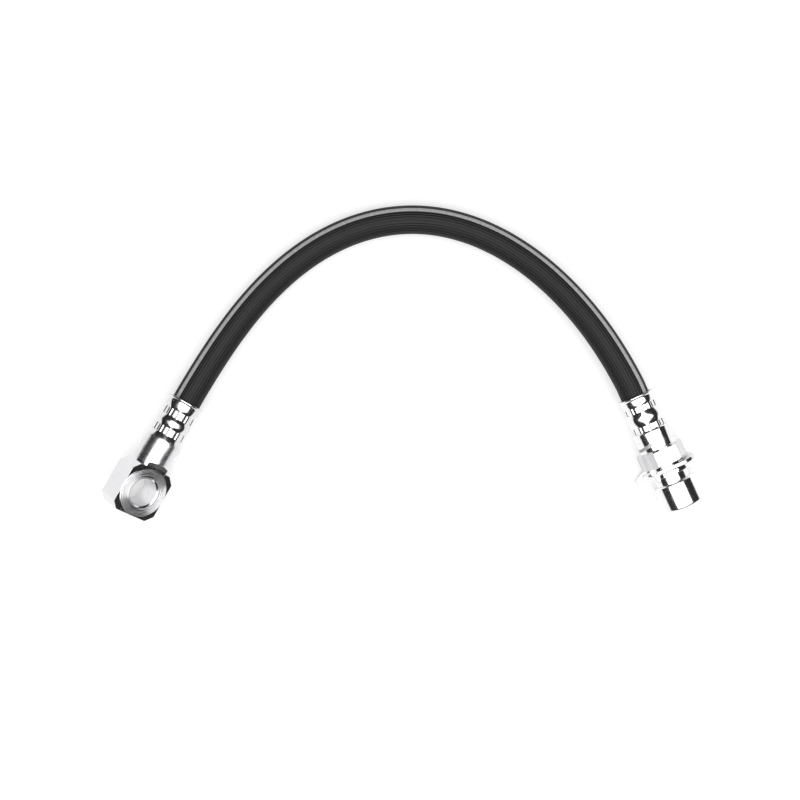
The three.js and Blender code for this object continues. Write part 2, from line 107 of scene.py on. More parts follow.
def make_piece(name, patches, material, nodes):
    """One mesh from patches (points, wrap_rows, wrap_columns, values), welded where they meet. Values
    maps an attribute's name to one number, or three, for each point."""
    points, faces, values, first = [], [], {}, 0
    for grid, wrap_rows, wrap_columns, attributes in patches:
        rows, columns = grid.shape[:2]
        points.append(grid.reshape(-1, 3))
        faces.append(quads(rows, columns, wrap_rows, wrap_columns) + first)
        first += rows * columns
        for key, value in attributes.items():
            values.setdefault(key, []).append(value.reshape(rows * columns, -1))
    points, faces = np.concatenate(points), np.concatenate(faces)
    mesh = bpy.data.meshes.new(name)
    mesh.from_pydata(points, [], faces)
    for key, parts in values.items():
        array = np.concatenate(parts).astype(np.float32)
        kind, field = ("FLOAT", "value") if array.shape[1] == 1 else ("FLOAT_VECTOR", "vector")
        mesh.attributes.new(key, kind, "POINT").data.foreach_set(field, array.ravel())
    shape = bmesh.new()
    shape.from_mesh(mesh)
    bmesh.ops.remove_doubles(shape, verts=shape.verts, dist=WELD)
    bmesh.ops.recalc_face_normals(shape, faces=shape.faces)
    shape.to_mesh(mesh)
    shape.free()
    mesh.shade_smooth()
    even_normals(mesh)
    mesh.materials.append(material)
    piece = bpy.data.objects.new(name, mesh)
    bpy.context.scene.collection.objects.link(piece)
    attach(piece, "root")
    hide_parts(*nodes)
    return piece


def rounded(corners, steps=ARC_STEPS):
    """A closed profile from rows (along, radius, fillet): each corner becomes a curve tangent to both
    legs, corner + (1 - t)^2 times a step back + t^2 times a step ahead, with t from 0 to 1."""
    corners = np.array(corners, float)
    place, fillet = corners[:, :2], corners[:, 2]
    back, ahead = np.roll(place, 1, 0) - place, np.roll(place, -1, 0) - place
    room = FILLET_ROOM * np.minimum(np.linalg.norm(back, axis=1), np.linalg.norm(ahead, axis=1))
    reach = np.minimum(fillet, room)[:, None]
    t = np.linspace(0, 1, steps)[:, None]
    curve = place[:, None] + (1 - t) ** 2 * (reach * unit(back))[:, None]
    curve = (curve + t**2 * (reach * unit(ahead))[:, None]).reshape(-1, 2)
    gap = np.linalg.norm(curve - np.roll(curve, 1, 0), axis=1)
    return curve[gap > 2 * WELD]


def ease(t):
    """Smooth step from 0 to 1: 3 t^2 - 2 t^3, with t held between 0 and 1."""
    t = np.clip(t, 0, 1)
    return t * t * (3 - 2 * t)


def soft_min(a, b, blend):
    """The lesser of a and b, rounded off over a width where they are about equal."""
    overlap = np.maximum(blend - np.abs(a - b), 0) / blend
    return np.minimum(a, b) - overlap**2 * blend / 4


# The hose's centre line, from its end in the banjo socket to its end in the female socket

ROUTE = np.array([
    [-0.08407, 0.0061, 0.0087], [-0.07701, 0.01871, 0.00765], [-0.07457, 0.02306, 0.00729],
    [-0.06855, 0.03303, 0.00657], [-0.06214, 0.0427, 0.006], [-0.05512, 0.05197, 0.00557],
    [-0.04736, 0.06056, 0.00528], [-0.0388, 0.06821, 0.00514], [-0.02945, 0.07463, 0.00512],
    [-0.01939, 0.07954, 0.00512], [-0.00879, 0.0827, 0.00512], [0.00213, 0.08393, 0.00512],
    [0.01309, 0.08316, 0.00512], [0.02385, 0.08043, 0.00513], [0.03415, 0.07592, 0.00542],
    [0.04384, 0.06987, 0.00599], [0.05278, 0.06254, 0.00673], [0.06091, 0.05422, 0.00754],
    [0.0682, 0.04515, 0.00831], [0.07461, 0.03551, 0.00891], [0.08027, 0.02539, 0.0093],
    [0.08232, 0.02083, 0.0093], [0.08793, 0.00833, 0.0093],
])
SPAN_STEPS = 24


def knot_step(start, end):
    """The spacing of two knots: the square root of the distance of their points."""
    return np.sqrt(np.linalg.norm(end - start, axis=1))[:, None, None]


def between(a, b, start, end, t):
    """The straight blend from a, at t = start, to b, at t = end."""
    return ((end - t) * a + (t - start) * b) / (end - start)


def smooth_line(points):
    """The centripetal spline through the points: on each span the three linear blends over knots
    whose spacing is the square root of the points' distance."""
    padded = np.concatenate([[2 * points[0] - points[1]], points, [2 * points[-1] - points[-2]]])
    p0, p1, p2, p3 = padded[:-3], padded[1:-2], padded[2:-1], padded[3:]
    t1 = knot_step(p0, p1)
    t2 = t1 + knot_step(p1, p2)
    t3 = t2 + knot_step(p2, p3)
    t = t1 + (t2 - t1) * np.linspace(0, 1, SPAN_STEPS, endpoint=False)[:, None]
    p0, p1, p2, p3 = (p[:, None] for p in (p0, p1, p2, p3))
    a1 = between(p0, p1, 0, t1, t)
    a2 = between(p1, p2, t1, t2, t)
    a3 = between(p2, p3, t2, t3, t)
    b1 = between(a1, a2, 0, t2, t)
    b2 = between(a2, a3, t1, t3, t)
    return np.concatenate([between(b1, b2, t1, t2, t).reshape(-1, 3), points[-1:]])


def fitting_frame(hose_end, tip, following, roll=0.0):
    """Origin at the rim and axes (columns) of a fitting: X runs on from the hose's straight end, Y
    lies level and Z is square to both, and Y and Z are then rolled about X by a given angle."""
    along = unit(tip - following)
    level = unit(np.array([-along[1], along[0], 0]))
    upright = np.cross(along, level)
    turn_y = level * math.cos(roll) + upright * math.sin(roll)
    turn_z = upright * math.cos(roll) - level * math.sin(roll)
    return tip - along * hose_end, np.stack([along, turn_y, turn_z], 1)


def placed(points, fitting):
    """Points of a fitting's own frame, in the frame of the whole object."""
    origin, axes = fitting
    return origin + points @ axes.T


# Sockets

CLEARANCE = 0.3 * MM
HOSE_RADIUS = 5.1 * MM
HOSE_BORE_RADIUS = 1.6 * MM
HOSE_OVERRUN = 0.9 * MM
CRIMP_RISE = 0.75 * MM
BULGE_RISE = 1.3 * MM
RIM_LIP = 0.45 * MM
RIM_STEP = 0.4 * MM
RIM_WALL = 0.45 * MM
RIM_EDGE = 0.2 * MM
BARREL_SHARES = 3
HIDDEN_EDGE = 0.1 * MM
MOUTH_DEPTH = 1.2 * MM
SQUEEZE_RAMP = 0.7 * MM
SOCKET_WALL = 0.75 * MM
JAW_COUNT = 10
JAW_DEPTH = 0.4 * MM
JAW_WIDTH = 2.35 * MM
MARK_DEPTH = 0.27 * MM
NIPPLE_BORE_RADIUS = 1.2 * MM
BARB_RADIUS = 2.27 * MM
NIPPLE_LEAD = 1.6 * MM
SHANK_RADIUS = 2.8 * MM
SHANK_LENGTH = 4.2 * MM


class Socket:
    """Where each form of a crimped socket starts, counted from its rim, the depth to which the jaws'
    pull is felt beside their marks (flute), and the power by which the bell falls."""

    def __init__(self, bell, crimp, bulge, rim_flare, first_jaw, flute, fall_power):
        self.first_crimp = bell
        self.bulge_start = bell + crimp
        self.second_crimp = self.bulge_start + bulge
        self.tail = self.second_crimp + crimp
        self.hose_end = self.tail + HOSE_OVERRUN
        self.floor = self.hose_end + CLEARANCE
        self.crimp = crimp
        self.bulge = bulge
        self.first_jaw = first_jaw
        self.flute = flute
        self.fall_power = fall_power
        self.rim = HOSE_RADIUS + rim_flare
        self.crimp_radius = HOSE_RADIUS + CRIMP_RISE
        self.bulge_radius = HOSE_RADIUS + BULGE_RISE
        self.inner = HOSE_RADIUS + CLEARANCE
        self.tight = self.crimp_radius - JAW_DEPTH - SOCKET_WALL


BANJO_SOCKET = Socket(
    bell=4.15 * MM, crimp=2.8 * MM, bulge=3.85 * MM, rim_flare=1.7 * MM,
    first_jaw=math.radians(-14.4), flute=0.1 * MM, fall_power=3,
)
FEMALE_SOCKET = Socket(
    bell=3.45 * MM, crimp=2.25 * MM, bulge=4.85 * MM, rim_flare=1.4 * MM,
    first_jaw=math.radians(7.5), flute=0.06 * MM, fall_power=4,
)

BELL_STEPS = 14
BULGE_STEPS = 20
JAW_END = 0.16 * MM
JAW_END_ROWS = (0.25, 0.5, 0.75, 1.0, 2.0)
FLUTE_END = 2 * MM
COLUMNS = 300


def barrel(start, length, end_radius, middle_radius, steps):
    """Rows (along, radius, 0) of a bulge: its radius rises by a half wave of the sine."""
    t = np.linspace(0, 1, steps + 1)
    radius = end_radius + (middle_radius - end_radius) * np.sin(math.pi * t)
    return np.stack([start + length * t, radius, 0 * t], 1).tolist()


def socket_outside(socket):
    """Rows (along, radius, fillet) from the rim to the end of the second crimp. The bell falls from
    its lip to the crimp as a power of the share of the way, steepest at the crimp."""
    lip = RIM_LIP + RIM_STEP
    t = np.linspace(0, 1, BELL_STEPS + 1)
    fall = t**socket.fall_power
    lip_radius = socket.rim - RIM_STEP
    radius = lip_radius + (socket.crimp_radius - lip_radius) * fall
    bell = np.stack([lip + (socket.first_crimp - lip) * t, radius, 0 * t], 1).tolist()
    marks = JAW_END * np.array(JAW_END_ROWS)
    ends = np.concatenate([marks, [socket.crimp / 2], socket.crimp - marks[::-1]])
    flats = [[[start + x, socket.crimp_radius, 0] for x in ends]
             for start in (socket.first_crimp, socket.second_crimp)]
    bulge = barrel(
        socket.bulge_start, socket.bulge, socket.crimp_radius, socket.bulge_radius, BULGE_STEPS
    )
    return [
        [0, socket.rim, RIM_EDGE],
        [RIM_LIP, socket.rim, RIM_EDGE],
        *bell, *flats[0], *bulge, *flats[1],
        [socket.tail, socket.crimp_radius, HIDDEN_EDGE],
    ]


def socket_inside(socket, inset):
    """Rows (along, radius, 0) of the inside from its floor to the mouth, or of what fills it."""
    tight, inner = socket.tight - inset, socket.inner - inset
    bulge = barrel(socket.bulge_start, socket.bulge, tight, inner, BULGE_STEPS // BARREL_SHARES)
    return [
        [socket.floor, tight, 0],
        *bulge[::-1],
        [socket.first_crimp, tight, 0],
        [socket.first_crimp - SQUEEZE_RAMP, inner, 0],
    ]


def even_angles():
    """Angles about the axis, evenly spaced, from minus half a turn."""
    return -math.pi + 2 * math.pi * np.arange(COLUMNS) / COLUMNS


EVEN_SHARE = 0.35
EDGE_PULL = 4
EDGE_SPREAD = 0.09
FINE_STEPS = 2001


def crowding(t, middle, spread):
    """A bell curve about a middle: e to the power of minus the square of the distance over the
    spread."""
    return np.exp(-(((t - middle) / spread) ** 2))


def spread_by(density, t, shares):
    """Values of t at the given shares, from 0 to 1, of the area under a density."""
    area = np.concatenate([[0], np.cumsum((density[1:] + density[:-1]) / 2 * np.diff(t))])
    return np.interp(shares * area[-1], area, t)


def sided_angles(sides, first, edge):
    """The same number of angles, drawn together at an angle on both sides of each side's middle,
    where an edge lies, and sorted. A share of each side's steps goes evenly to its whole width."""
    steps = COLUMNS // sides
    half = math.pi / sides
    t = np.linspace(-half, half, FINE_STEPS)
    crowds = sum(crowding(t, place, EDGE_SPREAD * half) for place in (-edge, edge))
    density = EVEN_SHARE + EDGE_PULL * crowds
    offsets = spread_by(density, t, (np.arange(steps) + 0.5) / steps)
    centres = first + 2 * half * np.arange(sides)
    angles = (centres[:, None] + offsets).ravel()
    return np.sort((angles + math.pi) % (2 * math.pi) - math.pi)


def jaw_edge(socket):
    """Half the angle that a jaw's mark takes."""
    return math.atan(JAW_WIDTH / 2 / (socket.crimp_radius - JAW_DEPTH))


LAND_EDGE = math.radians(2.6)


def flute_share(socket, along, angle):
    """How far the jaws' pull is felt beside their marks: (1 + cos(jaws times angle)) / 2, most
    between the crimps and fading out towards the rim and the stem."""
    wave = (1 + np.cos(JAW_COUNT * (angle - socket.first_jaw))) / 2
    fade = ease(along / socket.first_crimp) * ease((socket.tail + FLUTE_END - along) / FLUTE_END)
    return wave * fade


def jaw_cut(socket, along, angle, radius):
    """Radius after crimping: each jaw leaves a mark of one radius, and the lands between the jaws
    and the ends of the marks rise by smooth steps."""
    pitch = 2 * math.pi / JAW_COUNT
    radius = radius - socket.flute * flute_share(socket, along, angle)
    off = np.abs((angle - socket.first_jaw + pitch / 2) % pitch - pitch / 2)
    mark = socket.crimp_radius - MARK_DEPTH
    depth = 1 - ease((off - jaw_edge(socket) + LAND_EDGE) / (2 * LAND_EDGE))
    for start in (socket.first_crimp, socket.second_crimp):
        inside = ease((along - start) / JAW_END) * ease((start + socket.crimp - along) / JAW_END)
        radius = radius + (np.minimum(mark, radius) - radius) * depth * inside
    return radius


def lathe(along, radius, angle):
    """Points of a surface turned about X: (along, radius sin(angle), radius cos(angle))."""
    return np.stack(np.broadcast_arrays(along, radius * np.sin(angle), radius * np.cos(angle)), -1)


# Hose: a ribbed rubber cover with a painted stripe on two opposite sides

RIB_COUNT = 36
RIB_HEIGHT = 0.1 * MM
RIB_STEPS = 8
STRIPE_ANGLE = math.radians(37)
STRIPE_HALF = math.radians(9)
STRIPE_EDGE = math.radians(1)
HOSE_RINGS = 190
BORE_RINGS = 60


def hose_radius(from_start, from_end):
    """Outer radius of the plain hose: drawn in where the two sockets squeeze it."""
    radius = np.full(len(from_start), HOSE_RADIUS)
    for socket, distance in ((BANJO_SOCKET, from_start), (FEMALE_SOCKET, from_end)):
        rows = np.array(socket_inside(socket, CLEARANCE))[::-1]
        inside = np.interp(socket.hose_end - distance, rows[:, 0], rows[:, 1])
        radius = np.minimum(radius, np.where(distance < socket.hose_end, inside, HOSE_RADIUS))
    return radius


def bore_radius(from_start, from_end):
    """Radius of the hose's bore: opened where a nipple fills it."""
    radius = np.full(len(from_start), HOSE_BORE_RADIUS)
    for socket, distance in ((BANJO_SOCKET, from_start), (FEMALE_SOCKET, from_end)):
        opened = distance < socket.hose_end - NIPPLE_LEAD + CLEARANCE
        radius = np.where(opened, BARB_RADIUS + CLEARANCE, radius)
    return radius


def hose_stations(total, rings):
    """Lengths along the hose, closer together inside the sockets than on the free stretch."""
    ends = max(BANJO_SOCKET.hose_end, FEMALE_SOCKET.hose_end)
    inner = np.linspace(0, ends, rings // 5)
    free = np.linspace(ends, total - ends, rings - 2 * len(inner) + 2)[1:-1]
    return np.concatenate([inner, free, total - inner[::-1]])


def stripe_share(angle):
    """One on the two stripes, which lie opposite each other, and zero on the ribbed cover."""
    off = np.abs((angle - STRIPE_ANGLE + math.pi / 2) % math.pi - math.pi / 2)
    return 1 - ease((off - STRIPE_HALF + STRIPE_EDGE) / (2 * STRIPE_EDGE))


def make_hose(material):
    """A ring of radius r(angle) carried along the centre line, out over the cover and back through
    the bore. The angle counts from straight up, towards the outside of the bend, and the cover's
    radius is the plain radius less a rib's height times a sine squared."""
    line = smooth_line(ROUTE)
    passed = np.concatenate([[0], np.cumsum(np.linalg.norm(np.diff(line, axis=0), axis=1))])
    total = passed[-1]
    columns = RIB_COUNT * RIB_STEPS
    angle = 2 * math.pi * np.arange(columns) / columns
    outer, inner = hose_stations(total, HOSE_RINGS), hose_stations(total, BORE_RINGS)[::-1]
    station = np.concatenate([outer, inner])
    centre = np.stack([np.interp(station, passed, line[:, k]) for k in range(3)], 1)
    slope = np.gradient(line, axis=0)
    tangent = unit(np.stack([np.interp(station, passed, slope[:, k]) for k in range(3)], 1))
    outside = unit(np.cross([0, 0, 1], tangent))
    upright = np.cross(tangent, outside)
    stripe = stripe_share(angle)
    cover = hose_radius(outer, total - outer)[:, None]
    ribs = RIB_HEIGHT * np.sin(angle * RIB_COUNT / 2) ** 2 * (1 - stripe)
    radius = np.concatenate([
        cover - ribs,
        np.repeat(bore_radius(inner, total - inner)[:, None], columns, 1),
    ])[..., None]
    ring = np.sin(angle)[:, None] * outside[:, None] + np.cos(angle)[:, None] * upright[:, None]
    grid = centre[:, None] + radius * ring
    shown = np.concatenate([np.ones(len(outer)), np.zeros(len(inner))])[:, None]
    values = {
        "stripe": stripe * shown,
        "along_hose": np.repeat(station[:, None], columns, 1),
    }
    piece = make_piece("ribbed_hose", [(grid, True, True, values)], material, ["hose"])


# Fittings' frames

BANJO_ROLL = math.radians(-42)
HEX_ROLL = math.radians(3.5)
BANJO_FRAME = fitting_frame(BANJO_SOCKET.hose_end, ROUTE[0], ROUTE[1], BANJO_ROLL)
FEMALE_FRAME = fitting_frame(FEMALE_SOCKET.hose_end, ROUTE[-1], ROUTE[-2])


def socket_hollow(socket):
    """Rows of the hollow behind a socket's mouth, from the nipple's seat back to the rim."""
    shank = SHANK_RADIUS + CLEARANCE
    return [
        [socket.floor + SHANK_LENGTH + CLEARANCE, shank, 0],
        [socket.floor, shank, 0],
        *socket_inside(socket, 0),
        [MOUTH_DEPTH, socket.inner, RIM_EDGE],
        [0, socket.rim - RIM_WALL, HIDDEN_EDGE],
    ]


# Female fitting

FEMALE_STEM = 6.65 * MM
FEMALE_CONE = 0.2 * MM
HEX_START = 19.85 * MM
HEX_LENGTH = 6.1 * MM
HEX_FLAT = 7.5 * MM
GROOVE = 6.05 * MM
CLIP_GROOVE = 2.3 * MM
COLLAR = 7.8 * MM
COLLAR_LENGTH = 1.7 * MM
NECK_LENGTH = 2.9 * MM
NOSE = 7.5 * MM
NOSE_LENGTH = 9.5 * MM
CHAMFER = 0.5 * MM
PORT = 4.45 * MM
PORT_DEPTH = 11 * MM
SEAT = 3.3 * MM
SEAT_HEIGHT = 2 * MM
SEAT_LIP = 0.4 * MM
THREAD_PITCH = 1.0 * MM
THREAD_DEPTH = 0.45 * MM
THREAD_RUNOUT = 2.5 * MM
CREST_EDGE = 0.05 * MM
EDGE = 0.14 * MM
SHOULDER_EDGE = 0.4 * MM
CORNER_EDGE = 0.12 * MM
HEX_INSET = 0.1 * MM
TURN_TO_HEX = 1 * MM
HEX_END = HEX_START + HEX_LENGTH
COLLAR_START = HEX_END + CLIP_GROOVE
NECK_START = COLLAR_START + COLLAR_LENGTH
NOSE_START = NECK_START + NECK_LENGTH
NOSE_END = NOSE_START + NOSE_LENGTH


# One turn of the port's thread: (share of the pitch, depth outside the bore, fillet)
THREAD_FORM = (
    (0, 0, CREST_EDGE), (0.12, 0, CREST_EDGE), (0.5, THREAD_DEPTH, 0), (0.62, THREAD_DEPTH, 0),
)


def thread_rows():
    """Rows of the port's thread, from its mouth inwards: crests on the bore, roots outside it."""
    turns = int((PORT_DEPTH - THREAD_RUNOUT) / THREAD_PITCH)
    start = NOSE_END - CHAMFER
    return [
        [start - THREAD_PITCH * (turn + share), PORT + depth, fillet]
        for turn in range(turns)
        for share, depth, fillet in THREAD_FORM
    ]


def female_rows():
    """The whole closed profile: out over the socket, stem, hexagon, groove, collar, neck and nose,
    and back through the port, its seat, the passage and the socket's hollow."""
    corner = HEX_FLAT / math.cos(math.pi / 6)
    drop = (corner - HEX_FLAT) * math.tan(math.pi / 6)
    port_floor = NOSE_END - PORT_DEPTH
    return rounded([
        *socket_outside(FEMALE_SOCKET),
        [FEMALE_SOCKET.tail + FEMALE_CONE, FEMALE_STEM, SHOULDER_EDGE],
        [HEX_START, FEMALE_STEM, EDGE],
        [HEX_START, HEX_FLAT - HEX_INSET, EDGE],
        [HEX_START + drop, corner, EDGE],
        [HEX_END - drop / 2, corner, EDGE],
        [HEX_END, (HEX_FLAT + corner) / 2, EDGE],
        [HEX_END, GROOVE, EDGE],
        [COLLAR_START, GROOVE, EDGE],
        [COLLAR_START, COLLAR, 2 * EDGE],
        [NECK_START, COLLAR, 2 * EDGE],
        [NECK_START, GROOVE, EDGE],
        [NOSE_START, GROOVE, EDGE],
        [NOSE_START, NOSE - CHAMFER, EDGE],
        [NOSE_START + CHAMFER, NOSE, EDGE],
        [NOSE_END - CHAMFER, NOSE, 3 * EDGE],
        [NOSE_END, NOSE - CHAMFER, EDGE],
        [NOSE_END, PORT + CHAMFER, EDGE],
        *thread_rows(),
        [port_floor, PORT, EDGE],
        [port_floor, SEAT, EDGE],
        [port_floor + SEAT_HEIGHT, NIPPLE_BORE_RADIUS + SEAT_LIP, EDGE / 2],
        [port_floor + SEAT_HEIGHT, NIPPLE_BORE_RADIUS, EDGE / 2],
        [FEMALE_SOCKET.floor + SHANK_LENGTH + CLEARANCE, NIPPLE_BORE_RADIUS, 0],
        *socket_hollow(FEMALE_SOCKET),
    ])


def row_angles(along, stops):
    """Angles of each row, blended between the sets of angles given at stops along the axis."""
    places = [place for place, _ in stops]
    share = np.interp(along, places, np.arange(len(stops)))
    lower = np.minimum(share.astype(int), len(stops) - 2)
    sets = np.stack([angles for _, angles in stops])
    part = (share - lower)[:, None]
    return sets[lower] * (1 - part) + sets[lower + 1] * part


def outer_mask(rows):
    """One on the rows before the profile turns back into the part, and zero after it."""
    turn = np.argmax(rows[:, 0])
    return (np.arange(len(rows)) <= turn)[:, None]


def make_female_fitting(material):
    """A turned surface whose radius is held to the jaws' marks in the crimps and, in the hexagon, to
    the six sides: the flat's distance / cos(angle from the side's middle)."""
    rows = female_rows()
    along, radius = rows[:, :1], rows[:, 1:2]
    jaws = sided_angles(JAW_COUNT, FEMALE_SOCKET.first_jaw, jaw_edge(FEMALE_SOCKET))
    sixth = math.pi / 3
    sides = sided_angles(6, HEX_ROLL, sixth / 2)
    stops = [
        (FEMALE_SOCKET.tail, jaws), (HEX_START - TURN_TO_HEX, sides), (HEX_END, sides),
        (NECK_START, even_angles()), (NOSE_END, even_angles()),
    ]
    angle = row_angles(rows[:, 0], stops)
    outer = outer_mask(rows)
    crimped = jaw_cut(FEMALE_SOCKET, along, angle, radius)
    off = (angle - HEX_ROLL + sixth / 2) % sixth - sixth / 2
    hexed = soft_min(radius, HEX_FLAT / np.cos(off), CORNER_EDGE)
    in_hex = outer & (along >= HEX_START - WELD) & (along <= HEX_END + WELD) & (radius > FEMALE_STEM)
    in_crimps = outer & (along < FEMALE_SOCKET.tail + FLUTE_END)
    shaped = np.where(in_hex, hexed, np.where(in_crimps, crimped, radius))
    grid = lathe(along, shaped, angle)
    patch = (placed(grid, FEMALE_FRAME), True, True, {"place": grid})
    make_piece("female_end", [patch], material, ["female_fitting"])


# Banjo fitting

BANJO_STEM = 6.6 * MM
BANJO_CONE = 2.2 * MM
BANJO_REACH = 35 * MM
BLOCK_HALF = 9 * MM
BLOCK_CORNER_CUT = 2.6 * MM
BLOCK_FACE = 5.3 * MM
BLOCK_EDGE = 0.3 * MM
BOLT_BORE = 5.1 * MM
BORE_CHAMFER = 0.5 * MM
SEAL_RADIUS = 8.8 * MM
SEAL_STEP = 0.3 * MM
FACING_MARGIN = 0.25 * MM
CUT_RADIUS = 11.6 * MM
HEAD_FLOOR = BLOCK_FACE - SEAL_STEP
FACING_REACH = math.hypot(BLOCK_HALF, BLOCK_HALF - BLOCK_CORNER_CUT) + FACING_MARGIN
CROSS_HOLE_DEPTH = 7 * MM
CROSS_HOLE_EDGE = 0.12 * MM
CROSS_HOLE_MARGIN = 0.2 * MM
CROSS_HOLE_ROWS = 29
STEM_END_RUN = 2 * MM
CONE_EDGE = 0.6 * MM
MOUTH_EDGE = 0.1 * MM
SEAL_EDGE = 0.08 * MM
FOOT_EDGE = 0.06 * MM
FLOOR_EDGE = 0.2 * MM
WALL_EDGE = 0.12 * MM
SIDE_RISE = 2 * MM
SIDE_RISE_ANGLE = math.radians(12)
FACE_GROOVE = 0.065 * MM
FACE_GROOVE_PITCH = 0.5 * MM
FACE_ROWS = 45
FACE_END = 0.2 * MM


def banjo_rows():
    """Profile from the end of the nipple's seat, on the axis, through the hollow and out over the
    socket to the end of the stem."""
    seat_end = BANJO_SOCKET.floor + SHANK_LENGTH + CLEARANCE
    outside = [
        *socket_outside(BANJO_SOCKET),
        [BANJO_SOCKET.tail + BANJO_CONE, BANJO_STEM, CONE_EDGE],
        [BANJO_REACH - CUT_RADIUS - STEM_END_RUN, BANJO_STEM, 0],
        [BANJO_REACH - CUT_RADIUS, BANJO_STEM, 0],
    ]
    return rounded([[seat_end, 0, 0], *socket_hollow(BANJO_SOCKET), *outside])


def stem_patch():
    """The socket and stem: a turned surface with crimped marks, whose last row bends to the cylinder
    about the bolt bore on which the head begins: reach - sqrt(cut^2 - y^2)."""
    rows = banjo_rows()
    along, radius = rows[:, :1], rows[:, 1:2]
    jaws = sided_angles(JAW_COUNT, BANJO_SOCKET.first_jaw, jaw_edge(BANJO_SOCKET))
    stops = [
        (BANJO_SOCKET.tail, jaws), (BANJO_REACH - CUT_RADIUS - STEM_END_RUN, even_angles()),
        (BANJO_REACH, even_angles()),
    ]
    angle = row_angles(rows[:, 0], stops)
    last_inner = np.argmin(rows[:, 0])
    outer = (np.arange(len(rows)) >= last_inner)[:, None]
    in_crimps = outer & (along < BANJO_SOCKET.tail + FLUTE_END)
    shaped = np.where(in_crimps, jaw_cut(BANJO_SOCKET, along, angle, radius), radius)
    grid = lathe(along, shaped, angle)
    side = grid[-1, :, 1]
    grid[-1, :, 0] = BANJO_REACH - np.sqrt(CUT_RADIUS**2 - side**2)
    return placed(grid, BANJO_FRAME), False, True, {"place": grid}


LEAST_FACING = 0.2
FAR = 1.0


def block_distance(angle):
    """Distance from the bolt bore's axis to the block's eight-sided outline, with its corners
    rounded: the soft least of side / cos(angle from that side)."""
    sides = np.array([0, 2, 4, 6]) * math.pi / 4
    cut = (2 * BLOCK_HALF - BLOCK_CORNER_CUT) / math.sqrt(2)
    result = np.full(np.shape(angle), FAR)
    for distance, directions in ((BLOCK_HALF, sides), (cut, sides + math.pi / 4)):
        for direction in directions:
            facing = np.cos(angle - direction)
            reach = distance / np.maximum(facing, LEAST_FACING)
            result = soft_min(result, reach, BLOCK_EDGE)
    return result


HEAD_COLUMNS = 190
FILLET_STEPS = 5
CORNER_PULL = 5
CORNER_SPREAD = math.radians(2)
STEM_PULL = 6
STEM_SPREAD = math.radians(3)
RUN_START = 0.15
RUN_ROWS = 7
TINY = 1.0e-9


def head_angles():
    """Angles about the bolt bore, from the stem's middle all the way round: on the stem they are
    those at which the stem's own columns meet the cut, and on the block they crowd at its corners."""
    stem = np.arcsin(BANJO_STEM * np.sin(even_angles()) / CUT_RADIUS)
    upper = np.abs(even_angles()) <= math.pi / 2 + WELD
    stem = stem[upper]
    first, last = stem[-1], 2 * math.pi + stem[0]
    t = np.linspace(first, last, 2 * FINE_STEPS - 1)
    corner = math.atan2(BLOCK_HALF - BLOCK_CORNER_CUT, BLOCK_HALF)
    corners = [q * math.pi / 2 + s * corner for q in range(5) for s in (-1, 1)]
    density = 1 + CORNER_PULL * sum(crowding(t, place, CORNER_SPREAD) for place in corners)
    density = density + STEM_PULL * sum(crowding(t, place, STEM_SPREAD) for place in (first, last))
    rest = spread_by(density, t, np.linspace(0, 1, HEAD_COLUMNS)[1:-1])
    return np.concatenate([stem, rest])


def bend(corner, before, after, fillet):
    """A curve over a corner for every column: corner + (1 - t)^2 times a step back + t^2 times a step
    ahead, with t from 0 to 1."""
    back, ahead = before - corner, after - corner
    room = FILLET_ROOM * np.minimum(np.linalg.norm(back, axis=-1), np.linalg.norm(ahead, axis=-1))
    reach = np.minimum(fillet, room)[..., None]
    t = np.linspace(0, 1, FILLET_STEPS)[:, None, None]
    return corner + (1 - t) ** 2 * (reach * unit(back)) + t**2 * (reach * unit(ahead))


def face_rows(ones):
    """Rows of the sealing face: shallow turned grooves whose depth is half a groove's depth times
    1 - cos(distance over the pitch)."""
    start, end = BOLT_BORE + 2 * BORE_CHAMFER, SEAL_RADIUS - FACE_END
    distance = np.linspace(start, end, FACE_ROWS)[:, None] * ones
    turn = 2 * math.pi * (distance - start) / FACE_GROOVE_PITCH
    return np.stack([distance, BLOCK_FACE - FACE_GROOVE * (1 - np.cos(turn)) / 2], -1)


